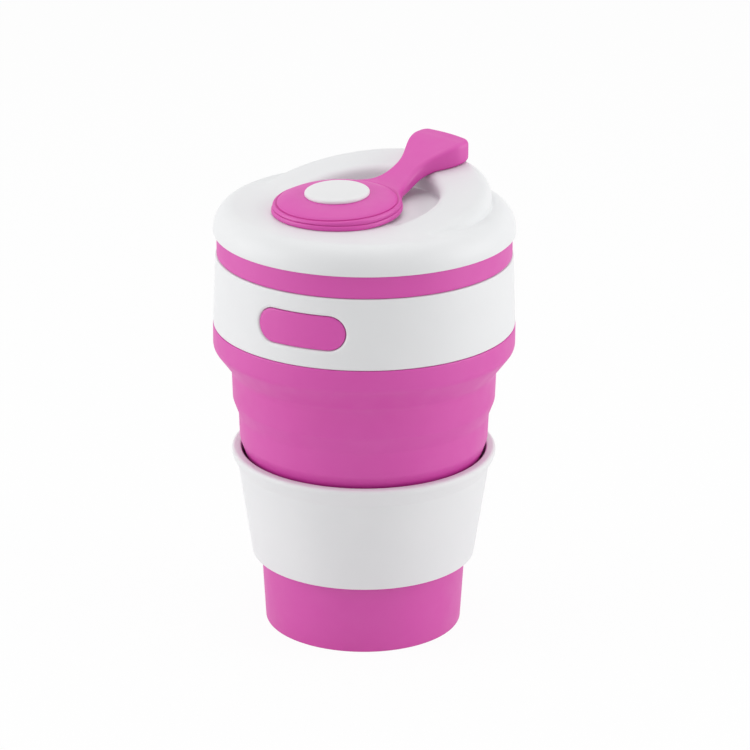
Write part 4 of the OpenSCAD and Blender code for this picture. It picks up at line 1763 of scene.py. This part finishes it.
@dataclass
class Studio:
    """White studio: seamless white ground, soft lamps at each side, above and in front, and the camera.

    Attributes:
        view_deg: Turn of the camera round the cup from -Y towards +X.
        tilt_deg: Rise of the camera above level.
        roll_deg: Turn of the camera about its line of sight.
        distance_mm: Distance of the camera from the point that it looks at.
        aim_z_mm: Height of that point on the cup's axis.
        focal_px: Focal length, in pixels of the picture.
        axis_px: Column of the picture in which the cup's axis lies.
        picture_px: Width of the picture.
        sensor_mm: Width of the camera's sensor.
        lamp_distance: Distance of the lamps in metres.
        world_light: Strength of the light from all round.
        ground_glow: Share of the ground's look that is plain white.
        ground_half_mm: Half of the ground's width.
        ground_drop_mm: How far the ground lies under the foot.
        paper: Brightness of the ground as it takes light.
        boxes: The lamps.
    """

    view_deg: float = 45.0
    tilt_deg: float = 20.02
    roll_deg: float = 0.235
    distance_mm: float = 1150.0
    aim_z_mm: float = 80.07
    focal_px: float = 3719.2
    axis_px: float = 364.0
    picture_px: float = 750.0
    sensor_mm: float = 36.0
    lamp_distance: float = 0.9
    world_light: float = 0.50
    ground_glow: float = 0.95
    ground_half_mm: float = 6000.0
    ground_drop_mm: float = 0.02
    paper: float = 0.9
    boxes: tuple[Softbox, ...] = (
        Softbox("left_softbox", -82.0, 12.0, 0.7, 0.9, 4.3),
        Softbox("right_softbox", 82.0, 12.0, 0.7, 0.9, 4.3),
        Softbox("top_softbox", 180.0, 82.0, 1.0, 1.0, 2.8),
        Softbox("front_softbox", 10.0, 58.0, 0.8, 0.6, 0.3),
    )

    def build(self) -> None:
        """Make the ground, the world, the lamps and the camera."""
        self.ground()
        self.world()
        for box in self.boxes:
            self.lamp(box)
        self.camera()

    def toward(self, turn_deg: float, rise_deg: float) -> np.ndarray:
        """Direction from the cup's axis at a turn from straight in front and a rise above level."""
        turn, rise = math.radians(turn_deg), math.radians(rise_deg)
        return np.array([math.sin(turn) * math.cos(rise), -math.cos(turn) * math.cos(rise), math.sin(rise)])

    def aimed(self, thing: bpy.types.Object, away: np.ndarray, distance: float,
              roll_deg: float = 0.0) -> None:
        """Place an object at a distance from the middle of the cup and turn it towards the cup.

        Args:
            thing: Camera or lamp, which looks along its own -Z.
            away: Direction from the cup.
            distance: Distance in metres.
            roll_deg: Turn about its own line of sight, anticlockwise as seen from behind it.
        """
        right = np.cross([0.0, 0.0, 1.0], away)
        right /= np.linalg.norm(right)
        up = np.cross(away, right)
        roll = math.radians(roll_deg)
        right, up = right * math.cos(roll) + up * math.sin(roll), up * math.cos(roll) - right * math.sin(roll)
        place = np.eye(4)
        place[:3, :3] = np.column_stack([right, up, away])
        place[:3, 3] = away * distance + [0.0, 0.0, self.aim_z_mm * MM]
        thing.matrix_world = Matrix(place.tolist())

    def camera(self) -> None:
        """Make the camera at the photograph's angle and framing."""
        data = bpy.data.cameras.new("camera")
        data.sensor_width = self.sensor_mm
        data.lens = self.focal_px * self.sensor_mm / self.picture_px
        data.shift_x = (self.picture_px / 2 - self.axis_px) / self.picture_px
        camera = bpy.data.objects.new("camera", data)
        bpy.context.scene.collection.objects.link(camera)
        away = self.toward(self.view_deg, self.tilt_deg)
        self.aimed(camera, away, self.distance_mm * MM, self.roll_deg)
        bpy.context.scene.camera = camera

    def lamp(self, box: Softbox) -> None:
        """Make one soft lamp.

        Args:
            box: Place, size and power of the lamp.
        """
        data = bpy.data.lights.new(box.name, "AREA")
        data.shape = "RECTANGLE"
        data.size = box.width
        data.size_y = box.height
        data.energy = box.power
        lamp = bpy.data.objects.new(box.name, data)
        bpy.context.scene.collection.objects.link(lamp)
        self.aimed(lamp, self.toward(self.view_deg + box.turn_deg, box.rise_deg), self.lamp_distance)

    def seen_directly(self, tree: bpy.types.NodeTree) -> bpy.types.NodeSocket:
        """Light path test that is 1 for rays that show a surface or its mirror image.

        Args:
            tree: Node tree that the test is added to.

        Returns:
            The greatest of the camera, glossy and transmission tests.
        """
        path = tree.nodes.new("ShaderNodeLightPath")
        value = path.outputs["Is Camera Ray"]
        for name in ("Is Glossy Ray", "Is Transmission Ray"):
            larger = tree.nodes.new("ShaderNodeMath")
            larger.operation = "MAXIMUM"
            tree.links.new(value, larger.inputs[0])
            tree.links.new(path.outputs[name], larger.inputs[1])
            value = larger.outputs[0]
        return value

    def world(self) -> None:
        """Make the world: white where it is seen, and dimmer where it lights the cup."""
        world = bpy.data.worlds.new("studio")
        world.use_nodes = True
        bpy.context.scene.world = world
        tree = world.node_tree
        background = tree.nodes["Background"]
        background.inputs["Color"].default_value = (1.0, 1.0, 1.0, 1.0)
        strength = tree.nodes.new("ShaderNodeMapRange")
        strength.inputs["To Min"].default_value = self.world_light
        strength.inputs["To Max"].default_value = 1.0
        tree.links.new(self.seen_directly(tree), strength.inputs["Value"])
        tree.links.new(strength.outputs["Result"], background.inputs["Strength"])

    def ground(self) -> None:
        """Make the ground: a white sheet that glows where it is seen and keeps a faint shadow."""
        graph = NodeGraph("studio_ground")
        paper = graph.add("ShaderNodeBsdfDiffuse", Color=(self.paper, self.paper, self.paper, 1.0))
        glow = graph.add("ShaderNodeEmission", Color=(1.0, 1.0, 1.0, 1.0), Strength=1.0)
        share = graph.add("ShaderNodeMath", operation="MULTIPLY")
        graph.link(self.seen_directly(graph.tree), share.inputs[0])
        share.inputs[1].default_value = self.ground_glow
        blend = graph.add("ShaderNodeMixShader")
        graph.link(share.outputs[0], blend.inputs["Fac"])
        graph.link(paper.outputs["BSDF"], blend.inputs[1])
        graph.link(glow.outputs["Emission"], blend.inputs[2])
        output = graph.add("ShaderNodeOutputMaterial")
        graph.link(blend.outputs["Shader"], output.inputs["Surface"])
        line = np.linspace(-self.ground_half_mm, self.ground_half_mm, 3)
        x, y = np.meshgrid(line, line, indexing="ij")
        sheet = Surface.of_grid(np.stack([x, y, 0 * x - self.ground_drop_mm], -1))
        sheet.to_object("ground", graph.material)


def main() -> None:
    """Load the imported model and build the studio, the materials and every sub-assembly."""
    logging.basicConfig(level=logging.INFO, format="%(name)s: %(message)s")
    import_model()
    bpy.context.scene.view_settings.view_transform = "Standard"
    Studio().build()

    silicone = SILICONE.material()
    plastic = POLYPROPYLENE.material()
    collar = Collar(plastic)
    cup = CupBody(silicone, collar)
    cup.build()
    collar.build()
    Sleeve(plastic, cup).build()
    lid = Lid(plastic)
    lid.build()
    stopper = Stopper(silicone, lid)
    stopper.build()
    Button(GLOSSY_CAP.material(), stopper).build()

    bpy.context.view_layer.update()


if __name__ == "__main__":
    main()
